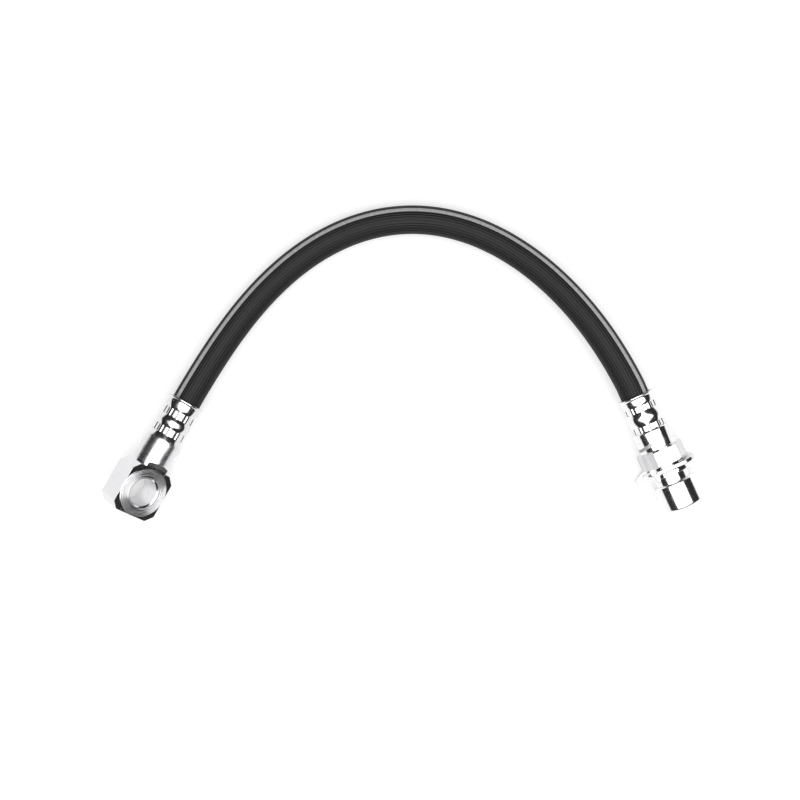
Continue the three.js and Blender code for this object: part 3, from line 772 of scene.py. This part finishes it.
def head_half(angle):
    """Upper half of the head as rows of (distance from the bore's axis, height). From the bore's
    mouth it runs over the sealing face, down its step, over the faced floor, and then down the
    block's side, or up or down on to the stem, whose height is sqrt(stem^2 - side^2)."""
    ones = np.ones_like(angle)
    from_stem = np.abs((angle + math.pi) % (2 * math.pi) - math.pi)
    sine = np.maximum(np.sin(np.minimum(from_stem, math.pi / 2)), TINY)
    outline = block_distance(angle)

    def point(distance, height):
        """One pair of distance and height, the same for every column."""
        return np.stack([distance * ones, height * ones], -1)

    def stem_height(distance):
        """Height of the round stem over the middle plane, at a distance from the bore's axis."""
        return np.sqrt(np.maximum(BANJO_STEM**2 - (distance * sine) ** 2, 0))

    stem_end = math.asin(BANJO_STEM / CUT_RADIUS)
    level = math.sqrt(BANJO_STEM**2 - HEAD_FLOOR**2)
    floor_end = np.where(outline * sine < level, np.minimum(level / sine, FACING_REACH), outline)
    floor_end = np.where(from_stem < math.pi / 2, floor_end, outline)
    beyond = stem_height(floor_end) * (from_stem < math.pi / 2)
    low = np.where(beyond > 0, beyond, SIDE_RISE * ease((from_stem - stem_end) / SIDE_RISE_ANGLE))
    exit_distance = np.where(from_stem < stem_end, CUT_RADIUS, np.maximum(BANJO_STEM / sine, outline))
    exit_distance = np.where(beyond > 0, exit_distance, outline)
    exit_height = np.where(from_stem <= stem_end + TINY, stem_height(CUT_RADIUS), 0)
    mouth = point(BOLT_BORE, BLOCK_FACE - BORE_CHAMFER)
    rim = point(BOLT_BORE + BORE_CHAMFER, BLOCK_FACE)
    seal = point(SEAL_RADIUS, BLOCK_FACE)
    foot = point(SEAL_RADIUS, HEAD_FLOOR)
    floor_edge = np.stack([floor_end, HEAD_FLOOR * ones], -1)
    wall_end = np.stack([floor_end, low], -1)
    finish = np.stack([exit_distance, exit_height], -1)
    rows = [
        point(BOLT_BORE, BLOCK_FACE - 2 * BORE_CHAMFER)[None],
        bend(mouth, point(BOLT_BORE, 0), rim, MOUTH_EDGE),
        bend(rim, mouth, seal, MOUTH_EDGE),
        face_rows(ones),
        bend(seal, rim, foot, SEAL_EDGE),
        bend(foot, seal, floor_edge, FOOT_EDGE),
        bend(floor_edge, foot, wall_end, FLOOR_EDGE),
        bend(wall_end, floor_edge, finish, WALL_EDGE),
    ]
    t = np.linspace(RUN_START, 1, RUN_ROWS)[:, None]
    run = wall_end[:, 0] + (exit_distance - wall_end[:, 0]) * t
    on_stem = stem_height(run) * (beyond > 0) + (low * (1 - t)) * (beyond <= 0)
    rows.append(np.stack([run, np.where(t == 1, exit_height, on_stem)], -1))
    return np.concatenate(rows)


def head_points(rows, angle):
    """Rows of (distance, height) set round the bolt bore, whose angle 0 looks back at the socket."""
    distance, height = rows[..., 0], rows[..., 1]
    along = BANJO_REACH - distance * np.cos(angle)
    return np.stack(np.broadcast_arrays(along, distance * np.sin(angle), height), -1)


def bore_patch(angle):
    """The bolt bore's wall, with the cross hole to the hose's passage sunk into it at angle 0: the
    wall steps out by the hole's depth inside a circle about that point."""
    top = BLOCK_FACE - 2 * BORE_CHAMFER
    reach = NIPPLE_BORE_RADIUS + CROSS_HOLE_MARGIN
    fine = np.linspace(-reach, reach, CROSS_HOLE_ROWS)
    height = np.concatenate([[top], fine[::-1], [-top]])[:, None]
    off = np.hypot(BOLT_BORE * ((angle + math.pi) % (2 * math.pi) - math.pi), height)
    sunk = 1 - ease((off - NIPPLE_BORE_RADIUS) / CROSS_HOLE_EDGE + 0.5)
    rows = np.stack(np.broadcast_arrays(BOLT_BORE + CROSS_HOLE_DEPTH * sunk, height), -1)
    return head_points(rows, angle)


def make_banjo_fitting(material):
    """The stem patch, the two halves of the head, each the other's mirror image, and the bore."""
    angle = head_angles()
    half = head_half(angle)
    patches = [stem_patch()]
    for side in (1, -1):
        grid = head_points(half * [1, side], angle)
        patches.append((placed(grid, BANJO_FRAME), False, True, {"place": grid}))
    bore = bore_patch(angle)
    patches.append((placed(bore, BANJO_FRAME), False, True, {"place": bore}))
    make_piece("banjo_end", patches, material, ["banjo_fitting"])


# Retaining clip

CLIP_THICKNESS = 1.3 * MM
CLIP_HALF_HEIGHT = 9.3 * MM
CLIP_BACK = 9.8 * MM
CLIP_BACK_CORNER = 6 * MM
CLIP_BOW_START = 5 * MM
CLIP_BOW_RADIUS = 20 * MM
CLIP_BEND_RADIUS = 1.4 * MM
UPPER_BEND_START = 4.5 * MM
UPPER_BEND_ANGLE = math.radians(80)
UPPER_LEG_END = 3.6 * MM
LOWER_BEND_START = 7.2 * MM
LOWER_BEND_ANGLE = math.radians(30)
LOWER_LEG_END = 4.4 * MM
CLIP_EDGE = 0.22 * MM
LEG_STEPS = 16
BACK_STEPS = 61
HALVINGS = 40
SLOT_HALF = GROOVE + CLEARANCE
CLIP_MIDDLE = COLLAR_START - CLEARANCE - CLIP_THICKNESS / 2


def clip_bend(reach, height):
    """Where a point of the flat strip goes: (side, along, tilt). The back follows an arc of the bow's
    radius and each leg's end one of the bend's radius, with a straight tip after it."""
    bend_start = np.where(height > 0, UPPER_BEND_START, LOWER_BEND_START)
    leg_bend = np.where(height > 0, UPPER_BEND_ANGLE, LOWER_BEND_ANGLE)
    bow = np.maximum(reach - CLIP_BOW_START, 0) / CLIP_BOW_RADIUS
    past = np.maximum(-bend_start - reach, 0)
    turn = np.minimum(past / CLIP_BEND_RADIUS, leg_bend)
    tip = past - turn * CLIP_BEND_RADIUS
    flat = np.clip(reach, -bend_start, CLIP_BOW_START)
    side = flat + CLIP_BOW_RADIUS * np.sin(bow) - CLIP_BEND_RADIUS * np.sin(turn) - tip * np.cos(turn)
    along = CLIP_BEND_RADIUS * (1 - np.cos(turn)) - CLIP_BOW_RADIUS * (1 - np.cos(bow)) + tip * np.sin(turn)
    return side, along, bow + turn


def clip_leg(bend_start, leg_end, side):
    """Inner and outer edge of a leg of the flat strip, from its end to the middle of the slot."""
    bent = np.linspace(-bend_start - leg_end, -bend_start, LEG_STEPS)
    reach = np.concatenate([bent, np.linspace(-bend_start, 0, LEG_STEPS)[1:]])
    heights = (SLOT_HALF, CLIP_HALF_HEIGHT)
    return [np.stack([reach, np.full(len(reach), side * height)], 1) for height in heights]


def clip_edges():
    """Inner and outer edge of the flat strip, matched point by point, from the upper leg's end
    round the back to the lower leg's end: straight legs, then arcs swept by one angle."""
    turn = np.linspace(0, math.pi, BACK_STEPS)[1:-1]
    arc_inner = np.stack([SLOT_HALF * np.sin(turn), SLOT_HALF * np.cos(turn)], 1)
    back = CLIP_BOW_START + CLIP_BOW_RADIUS * math.asin((CLIP_BACK - CLIP_BOW_START) / CLIP_BOW_RADIUS)
    upper_in, upper_out = clip_leg(UPPER_BEND_START, UPPER_LEG_END, 1)
    lower_in, lower_out = clip_leg(LOWER_BEND_START, LOWER_LEG_END, -1)
    inner = np.concatenate([upper_in, arc_inner, lower_in[::-1]])
    outer = np.concatenate([upper_out, box_edge(turn, back), lower_out[::-1]])
    return inner, outer


def box_edge(turn, back):
    """Points of a box with two rounded corners, seen from the axis at each angle: the ray's length
    is the greatest for which it stays inside the rounded box, found by halving."""
    direction = np.stack([np.sin(turn), np.cos(turn)], 1)
    low, high = np.zeros(len(turn)), np.full(len(turn), 2 * back)
    for _ in range(HALVINGS):
        middle = (low + high) / 2
        point = np.abs(direction * middle[:, None])
        corner = np.array([back - CLIP_BACK_CORNER, CLIP_HALF_HEIGHT - CLIP_BACK_CORNER])
        past = np.maximum(point - corner, 0)
        inside = np.hypot(past[:, 0], past[:, 1]) < CLIP_BACK_CORNER
        low, high = np.where(inside, middle, low), np.where(inside, high, middle)
    return direction * low[:, None]


def clip_section(width):
    """The strip's section with rounded edges, once round: shares of its width and heights over its
    middle. The four corners are quarter circles."""
    t = np.linspace(0, math.pi / 2, ARC_STEPS)
    inset, rise = CLIP_EDGE * (1 - np.sin(t)), CLIP_THICKNESS / 2 - CLIP_EDGE * (1 - np.cos(t))
    across = [inset[::-1] + 0 * width, width - inset, width - inset[::-1], inset + 0 * width]
    return np.concatenate(across, 1) / width, np.concatenate([rise[::-1], rise, -rise[::-1], -rise])


def make_clip(material):
    """A strip's rounded section carried round the slot, bent as a sheet and closed at both ends."""
    inner, outer = clip_edges()
    across, level = clip_section(np.linalg.norm(outer - inner, axis=1)[:, None])
    flat = inner[:, None] + (outer - inner)[:, None] * across[..., None]
    side, along, tilt = clip_bend(flat[..., 0], flat[..., 1])
    grid = np.stack([
        CLIP_MIDDLE + along + level * np.cos(tilt),
        side + level * np.sin(tilt),
        flat[..., 1],
    ], -1)
    middles = [np.repeat(end.mean(1, keepdims=True), grid.shape[1], 1) for end in (grid[:1], grid[-1:])]
    grid = np.concatenate([middles[0], grid, middles[1]])
    patch = (placed(grid, FEMALE_FRAME), False, True, {"place": grid})
    make_piece("spring_clip", [patch], material, ["retaining_clip"])


# Finishes: nodes, and the groups that more than one finish shares

TURNING_PITCH = 0.2 * MM
WANDER_SCALE = 1.3
WANDER_PHASE = 0.5
WANDER_DEPTH = 0.8
LEAST_DEPTH = 0.6
GRAIN_SCALE = 2600.0
MOTTLE_SCALE = 260.0
SPECK_SCALE = 900.0
SPECK_START = 0.66
SPECK_EDGE = 9.0
SPECK_TONE = -0.35
SPECK_ROUGHNESS = 0.25
MOTTLE_TONE = 0.12
MOTTLE_ROUGHNESS = 0.1
PLATING_TINT = (1.0, 1.0, 1.015)
STREAK_STRETCH = (40.0, 900.0, 900.0)


def feed(tree, value, socket):
    """Gives a socket a number or a colour, or another node's output."""
    if isinstance(value, bpy.types.NodeSocket):
        tree.links.new(value, socket)
    else:
        socket.default_value = value


def add_node(tree, kind, *inputs, **values):
    """A shader node whose first inputs are given in order, and others by name, as numbers, colours or
    other nodes' outputs. A name that is no input's is a setting's."""
    node = tree.nodes.new(kind)
    for key, value in values.items():
        if key in node.inputs:
            feed(tree, value, node.inputs[key])
        else:
            setattr(node, key, value)
    for socket, value in zip(node.inputs, inputs):
        feed(tree, value, socket)
    return node


def sum_up(tree, operation, *values, clamp=False):
    """The output of a Math node whose inputs are numbers or other nodes' outputs."""
    return add_node(tree, "ShaderNodeMath", *values, operation=operation, use_clamp=clamp).outputs[0]


def blend_colors(tree, share, low, high):
    """A colour between two, each a plain colour or another node's output, by a share from 0 to 1."""
    node = add_node(tree, "ShaderNodeMix", share, data_type="RGBA")
    feed(tree, low, node.inputs[6])
    feed(tree, high, node.inputs[7])
    return node.outputs[2]


def band(tree, value, low, high, soft):
    """One where a value lies between two limits, and zero outside, with soft edges."""
    rise = sum_up(tree, "DIVIDE", sum_up(tree, "SUBTRACT", value, low), soft, clamp=True)
    fall = sum_up(tree, "DIVIDE", sum_up(tree, "SUBTRACT", high, value), soft, clamp=True)
    return sum_up(tree, "MULTIPLY", rise, fall)


def noise(tree, vector, scale, detail=2.0):
    """A noise texture's value over a vector, from 0 to 1."""
    return add_node(tree, "ShaderNodeTexNoise", Scale=scale, Detail=detail, Vector=vector).outputs[0]


def noise_along(tree, distance, scale, detail):
    """A noise texture's value over one distance, from 0 to 1."""
    values = {"Scale": scale, "Detail": detail, "W": distance}
    return add_node(tree, "ShaderNodeTexNoise", noise_dimensions="1D", **values).outputs[0]


def new_group(name, inputs, outputs):
    """An empty node group with the given sockets, each a name and a kind."""
    group = bpy.data.node_groups.new(name, "ShaderNodeTree")
    for way, sockets in (("INPUT", inputs), ("OUTPUT", outputs)):
        for label, kind in sockets:
            group.interface.new_socket(label, in_out=way, socket_type=kind)
    return group, group.nodes.new("NodeGroupInput"), group.nodes.new("NodeGroupOutput")


def turning_marks_group():
    """Height of a lathe tool's marks at a distance along its path: a saw-toothed wave, from -1 to 1,
    whose phase and depth wander with noise."""
    group, given, result = new_group(
        "turning_marks",
        [("Distance", "NodeSocketFloat"), ("Pitch", "NodeSocketFloat")],
        [("Height", "NodeSocketFloat")],
    )
    turns = sum_up(group, "DIVIDE", given.outputs["Distance"], given.outputs["Pitch"])
    wander = noise_along(group, turns, WANDER_SCALE, 2.0)
    phase = sum_up(group, "MULTIPLY_ADD", wander, WANDER_PHASE, turns)
    wave = sum_up(group, "MULTIPLY_ADD", sum_up(group, "PINGPONG", phase, 0.5), 4.0, -1.0)
    depth = sum_up(group, "MULTIPLY_ADD", wander, WANDER_DEPTH, LEAST_DEPTH)
    group.links.new(sum_up(group, "MULTIPLY", wave, depth), result.inputs["Height"])
    return group


def plating_group():
    """Bright plating over a place: a tone and a roughness, each uneven, with fine dull specks."""
    group, given, result = new_group(
        "plating",
        [("Place", "NodeSocketVector"), ("Tone", "NodeSocketFloat"), ("Roughness", "NodeSocketFloat")],
        [("Color", "NodeSocketColor"), ("Roughness", "NodeSocketFloat"), ("Grain", "NodeSocketFloat")],
    )
    place = given.outputs["Place"]
    grain = noise(group, place, GRAIN_SCALE)
    mottle = noise(group, place, MOTTLE_SCALE, 3.0)
    past = sum_up(group, "SUBTRACT", noise(group, place, SPECK_SCALE), SPECK_START)
    specks = sum_up(group, "MULTIPLY", past, SPECK_EDGE, clamp=True)
    shade = sum_up(group, "MULTIPLY_ADD", mottle, MOTTLE_TONE, 1 - MOTTLE_TONE / 2)
    shade = sum_up(group, "MULTIPLY", shade, sum_up(group, "MULTIPLY_ADD", specks, SPECK_TONE, 1.0))
    tone = sum_up(group, "MULTIPLY", shade, given.outputs["Tone"])
    channels = [sum_up(group, "MULTIPLY", tone, tint, clamp=True) for tint in PLATING_TINT]
    color = add_node(group, "ShaderNodeCombineColor", *channels)
    rough = sum_up(group, "MULTIPLY_ADD", mottle, MOTTLE_ROUGHNESS, given.outputs["Roughness"])
    rough = sum_up(group, "MULTIPLY_ADD", specks, SPECK_ROUGHNESS, rough)
    for value, socket in zip((color.outputs[0], rough, grain), result.inputs):
        group.links.new(value, socket)
    return group


TURNING_MARKS = turning_marks_group()
PLATING = plating_group()


def use_group(tree, group, *inputs):
    """A group in a material, with its inputs in order."""
    return add_node(tree, "ShaderNodeGroup", *inputs, node_tree=group)


def new_material(name):
    """An empty node material, and its tree."""
    material = bpy.data.materials.new(name)
    material.use_nodes = True
    material.node_tree.nodes.clear()
    return material, material.node_tree


class Finish:
    """A material with a metal or plain shader, whose bumps are laid one over another."""

    def __init__(self, name, metallic, **values):
        self.material, self.tree = new_material(name)
        self.shader = add_node(self.tree, "ShaderNodeBsdfPrincipled", Metallic=metallic, **values)
        add_node(self.tree, "ShaderNodeOutputMaterial", self.shader.outputs[0])
        self.normal = None

    def place(self):
        """The fitting's own coordinates, and the three of them apart."""
        place = add_node(self.tree, "ShaderNodeAttribute", attribute_name="place").outputs["Vector"]
        return place, *add_node(self.tree, "ShaderNodeSeparateXYZ", place).outputs

    def bump(self, height, depth):
        """A height, from -1 to 1, times a depth in metres, over the bumps that are there already."""
        node = add_node(self.tree, "ShaderNodeBump", Strength=1.0, Distance=depth, Height=height)
        if self.normal:
            self.tree.links.new(self.normal, node.inputs["Normal"])
        self.normal = node.outputs[0]
        self.link(self.normal, "Normal")

    def link(self, value, name):
        """Joins a node's output to one of the shader's inputs."""
        self.tree.links.new(value, self.shader.inputs[name])

    def plate(self, place, tone, roughness):
        """Bright plating with its grain as the first bump."""
        plating = use_group(self.tree, PLATING, place, tone, roughness)
        self.link(plating.outputs["Color"], "Base Color")
        self.link(plating.outputs["Roughness"], "Roughness")
        self.bump(plating.outputs["Grain"], GRAIN_DEPTH)
        return plating


FACE_SLACK = 0.05 * MM
FACE_SOFT = 0.02 * MM
RING_SOFT = 0.15 * MM
STREAK_SOFT = 0.1 * MM
BAND_REACH = 1 * MM
GRAIN_DEPTH = 0.006 * MM
STEM_MARK_DEPTH = 0.0012 * MM
SEAL_MARK_DEPTH = 0.014 * MM
STREAK_DEPTH = 0.03 * MM
METAL_TONE = 0.7
METAL_ROUGHNESS = 0.1
CLIP_ROUGHNESS = 0.16
NIPPLE_TONE = 0.5
NIPPLE_ROUGHNESS = 0.25
STREAK_TONE = 0.45
STREAKED_TONE = 0.8
STEM_ROUGHNESS = 0.12
BANJO_MARK_PITCH = 0.4 * MM
FEMALE_MARK_PITCH = 0.35 * MM


def seal_marks(finish, x, y, z):
    """Deep concentric tool marks on the sealing faces round the bolt bore, and none elsewhere."""
    tree = finish.tree
    off_x = sum_up(tree, "SUBTRACT", x, BANJO_REACH)
    squares = sum_up(tree, "ADD", sum_up(tree, "MULTIPLY", off_x, off_x), sum_up(tree, "MULTIPLY", y, y))
    distance = sum_up(tree, "SQRT", squares)
    marks = use_group(tree, TURNING_MARKS, distance, TURNING_PITCH)
    level = sum_up(tree, "ABSOLUTE", z)
    face = band(tree, level, BLOCK_FACE - FACE_SLACK, BLOCK_FACE + BAND_REACH, FACE_SOFT)
    ring = band(tree, distance, BOLT_BORE + BORE_CHAMFER, SEAL_RADIUS, RING_SOFT)
    sealing = sum_up(tree, "MULTIPLY", face, ring)
    finish.bump(sum_up(tree, "MULTIPLY", marks.outputs[0], sealing), SEAL_MARK_DEPTH)


def stem_marks(finish, x, pitch):
    """Shallow tool marks round the turned stem, the collar and the nose."""
    marks = use_group(finish.tree, TURNING_MARKS, x, pitch)
    finish.bump(marks.outputs[0], STEM_MARK_DEPTH)


def drawn_streaks(tree, place, x, start, end):
    """Fine streaks along the axis between two places, left by the drawn bar's surface."""
    stretched = add_node(tree, "ShaderNodeMapping", place, Scale=STREAK_STRETCH).outputs[0]
    streaks = noise(tree, stretched, 1.0)
    return sum_up(tree, "MULTIPLY", streaks, band(tree, x, start, end, STREAK_SOFT))


def banjo_material():
    """Plating that is duller on the stem, with tool marks on the stem and the sealing faces."""
    finish = Finish("plated_banjo", 1.0)
    tree = finish.tree
    place, x, y, z = finish.place()
    stem = band(tree, x, BANJO_SOCKET.tail + BAND_REACH, BANJO_REACH - BLOCK_HALF, BAND_REACH)
    finish.plate(place, METAL_TONE, sum_up(tree, "MULTIPLY_ADD", stem, STEM_ROUGHNESS, METAL_ROUGHNESS))
    stem_marks(finish, x, BANJO_MARK_PITCH)
    seal_marks(finish, x, y, z)
    return finish.material


# A matte grey band over the upper side of the female fitting's stem: a paler, rougher base colour in a bow
GREY_BAND_START = 16.7 * MM
GREY_BAND_WIDTH = 1.3 * MM
GREY_BAND_BOW = 29.0
GREY_BAND_END = 3 * MM
GREY_BAND_REACH = 8.0 * MM
GREY_BAND_SOFT = 0.2 * MM
GREY_BAND_DROP = 2 * MM
GREY_BAND_COLOR = (0.5, 0.5, 0.5, 1)
GREY_BAND_ROUGHNESS = 0.75


def female_material():
    """Plating with drawn streaks on the hexagon, and a matte grey band in a bow over the upper side of the
    stem: its place along the axis shifts with the square of the place across, and it fades to one side."""
    finish = Finish("plated_female", 1.0)
    tree = finish.tree
    place, x, y, z = finish.place()
    streaks = drawn_streaks(tree, place, x, HEX_START, HEX_END)
    tone = sum_up(tree, "MULTIPLY_ADD", streaks, -STREAK_TONE, STREAKED_TONE)
    plating = finish.plate(place, tone, METAL_ROUGHNESS)
    stem_marks(finish, x, FEMALE_MARK_PITCH)
    finish.bump(streaks, STREAK_DEPTH)
    # Matte grey band in a bow over the stem's upper side, fading to one side
    shifted = sum_up(tree, "MULTIPLY_ADD", sum_up(tree, "MULTIPLY", y, y), -GREY_BAND_BOW, x)
    grey_band = band(tree, shifted, GREY_BAND_START, GREY_BAND_START + GREY_BAND_WIDTH, GREY_BAND_SOFT)
    fade = sum_up(tree, "DIVIDE", sum_up(tree, "SUBTRACT", GREY_BAND_END, y), GREY_BAND_REACH, clamp=True)
    upper = band(tree, z, -GREY_BAND_DROP, 2 * HEX_FLAT, BAND_REACH)
    on_stem = band(tree, x, 0, HEX_START, STREAK_SOFT)
    shown = sum_up(tree, "MULTIPLY", fade, sum_up(tree, "MULTIPLY", upper, on_stem))
    grey_band = sum_up(tree, "MULTIPLY", grey_band, shown)
    finish.link(blend_colors(tree, grey_band, plating.outputs["Color"], GREY_BAND_COLOR), "Base Color")
    rough = sum_up(tree, "MULTIPLY_ADD", grey_band, GREY_BAND_ROUGHNESS, plating.outputs["Roughness"])
    finish.link(rough, "Roughness")
    return finish.material


def clip_material():
    """The same plating on rolled sheet, a little duller."""
    finish = Finish("plated_spring", 1.0)
    finish.plate(finish.place()[0], METAL_TONE, CLIP_ROUGHNESS)
    return finish.material


def nipple_material(name):
    """Turned, uncoated steel, over the CAD solid's own coordinates."""
    finish = Finish(name, 1.0)
    place = add_node(finish.tree, "ShaderNodeTexCoord").outputs["Object"]
    finish.plate(place, NIPPLE_TONE, NIPPLE_ROUGHNESS)
    return finish.material


RUBBER_SHEEN = 0.2
RUBBER_ROUGHNESS = 0.34
RUBBER_UNEVEN = 0.16
RUBBER_GRAIN_SCALE = 3000.0
RUBBER_GRAIN_DEPTH = 0.004 * MM
CLOUD_SCALE = 180.0
WEAR_SCALE = 900.0
COVER_DARK = (0.006, 0.006, 0.0065, 1)
COVER_LIGHT = (0.012, 0.012, 0.0125, 1)
PAINT_WORN = (0.36, 0.36, 0.365, 1)
PAINT_FRESH = (0.56, 0.56, 0.565, 1)


def rubber_material():
    """Black rubber cover with an uneven sheen, and the pale stripes a little worn along the hose."""
    finish = Finish("ribbed_rubber", 0.0, **{"Specular IOR Level": RUBBER_SHEEN})
    tree = finish.tree
    stripe = add_node(tree, "ShaderNodeAttribute", attribute_name="stripe")
    along = add_node(tree, "ShaderNodeAttribute", attribute_name="along_hose")
    place = add_node(tree, "ShaderNodeTexCoord").outputs["Object"]
    grain = noise(tree, place, RUBBER_GRAIN_SCALE)
    cloud = noise(tree, place, CLOUD_SCALE, 3.0)
    wear = noise_along(tree, along.outputs["Fac"], WEAR_SCALE, 3.0)
    cover = blend_colors(tree, cloud, COVER_DARK, COVER_LIGHT)
    paint = blend_colors(tree, wear, PAINT_WORN, PAINT_FRESH)
    finish.link(blend_colors(tree, stripe.outputs["Fac"], cover, paint), "Base Color")
    finish.link(sum_up(tree, "MULTIPLY_ADD", cloud, RUBBER_UNEVEN, RUBBER_ROUGHNESS), "Roughness")
    finish.bump(grain, RUBBER_GRAIN_DEPTH)
    return finish.material


# Floor, lamp and world

SOFTBOX_HEIGHT = 0.47
SOFTBOX_SIZE = 0.68
SOFTBOX_POWER = 4.0
SOFTBOX_SHIFT = (0.035, -0.08)
SOFTBOX_TURN = math.radians(-29)
WORLD_LEVEL = 0.02
SURROUND_LEVEL = 0.03
SURROUND_RADIUS = 0.6
SURROUND_HEIGHT = 0.76
SURROUND_SIDES = 64
SURROUND_MIDDLE = (0, -0.2, 0)
FLOOR_GLOW = 0.32
FLOOR_GLOW_RISE = 1.2
FLOOR_TONE = 0.72
FLOOR_SIZE = 4.0


def stage_piece(name, points, faces, material):
    """A mesh that stands by the object and isn't part of it."""
    mesh = bpy.data.meshes.new(name)
    mesh.from_pydata(points, [], faces)
    mesh.materials.append(material)
    piece = bpy.data.objects.new(name, mesh)
    bpy.context.scene.collection.objects.link(piece)
    return piece


def show_to_rays(tree, output, light, seen):
    """An output that is one shader as light on the object, and another to the rays that look at it:
    camera, glossy and transmission rays."""
    path = add_node(tree, "ShaderNodeLightPath").outputs
    looks = sum_up(tree, "MAXIMUM", path["Is Camera Ray"], path["Is Glossy Ray"])
    looks = sum_up(tree, "MAXIMUM", looks, path["Is Transmission Ray"])
    mix = add_node(tree, "ShaderNodeMixShader", looks, light.outputs[0], seen.outputs[0])
    add_node(tree, output, mix.outputs[0])


def add_floor():
    """A plain floor, lighter for the camera and for metal than for the light that it sends back, and
    lighter still away from the object, where the softbox no longer reaches."""
    material, tree = new_material("white_floor")
    diffuse = add_node(tree, "ShaderNodeBsdfDiffuse", Color=(FLOOR_TONE, FLOOR_TONE, FLOOR_TONE, 1))
    place = add_node(tree, "ShaderNodeTexCoord").outputs["Object"]
    away = add_node(tree, "ShaderNodeVectorMath", place, operation="LENGTH").outputs["Value"]
    rise = sum_up(tree, "MULTIPLY_ADD", away, FLOOR_GLOW_RISE, FLOOR_GLOW, clamp=True)
    glow = add_node(tree, "ShaderNodeEmission", Strength=rise)
    both = add_node(tree, "ShaderNodeAddShader", diffuse.outputs[0], glow.outputs[0])
    show_to_rays(tree, "ShaderNodeOutputMaterial", diffuse, both)
    corners = np.array([[-1, -1, 0], [1, -1, 0], [1, 1, 0], [-1, 1, 0]]) * FLOOR_SIZE
    stage_piece("floor", corners, [(0, 1, 2, 3)], material)


def add_surround():
    """A dark wall round the table that only reflections see: the turned metal shows it as dark bands
    beside the softbox."""
    angle = np.linspace(0, 2 * math.pi, SURROUND_SIDES, endpoint=False)
    ring = SURROUND_RADIUS * np.stack([np.cos(angle), np.sin(angle), 0 * angle], 1)
    ring = ring + SURROUND_MIDDLE
    points = np.concatenate([ring, ring + [0, 0, SURROUND_HEIGHT]])
    material, tree = new_material("dark_wall")
    glow = add_node(tree, "ShaderNodeEmission", Strength=SURROUND_LEVEL)
    add_node(tree, "ShaderNodeOutputMaterial", glow.outputs[0])
    wall = stage_piece("surround", points, quads(2, SURROUND_SIDES, False, True), material)
    wall.visible_camera = False
    wall.visible_diffuse = False
    wall.visible_shadow = False


def add_light():
    """One square softbox overhead, and a world that is white to look at and dim as light."""
    data = bpy.data.lights.new("softbox", "AREA")
    data.shape = "SQUARE"
    data.size = SOFTBOX_SIZE
    data.energy = SOFTBOX_POWER
    lamp = bpy.data.objects.new("softbox", data)
    lamp.location = (*SOFTBOX_SHIFT, SOFTBOX_HEIGHT)
    lamp.rotation_euler = (0, 0, SOFTBOX_TURN)
    lamp.visible_camera = False
    bpy.context.scene.collection.objects.link(lamp)
    world = bpy.data.worlds.new("studio")
    bpy.context.scene.world = world
    world.use_nodes = True
    tree = world.node_tree
    tree.nodes.clear()
    dim = add_node(tree, "ShaderNodeBackground", Strength=WORLD_LEVEL)
    white = add_node(tree, "ShaderNodeBackground", Color=(1, 1, 1, 1), Strength=1.0)
    show_to_rays(tree, "ShaderNodeOutputWorld", dim, white)
    bpy.context.scene.view_settings.view_transform = "Standard"


make_hose(rubber_material())
make_female_fitting(female_material())
make_banjo_fitting(banjo_material())
make_clip(clip_material())
for name in ("banjo_nipple", "female_nipple"):
    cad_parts[name].data.materials.clear()
    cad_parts[name].data.materials.append(nipple_material(name + "_steel"))
add_floor()
add_surround()
add_light()
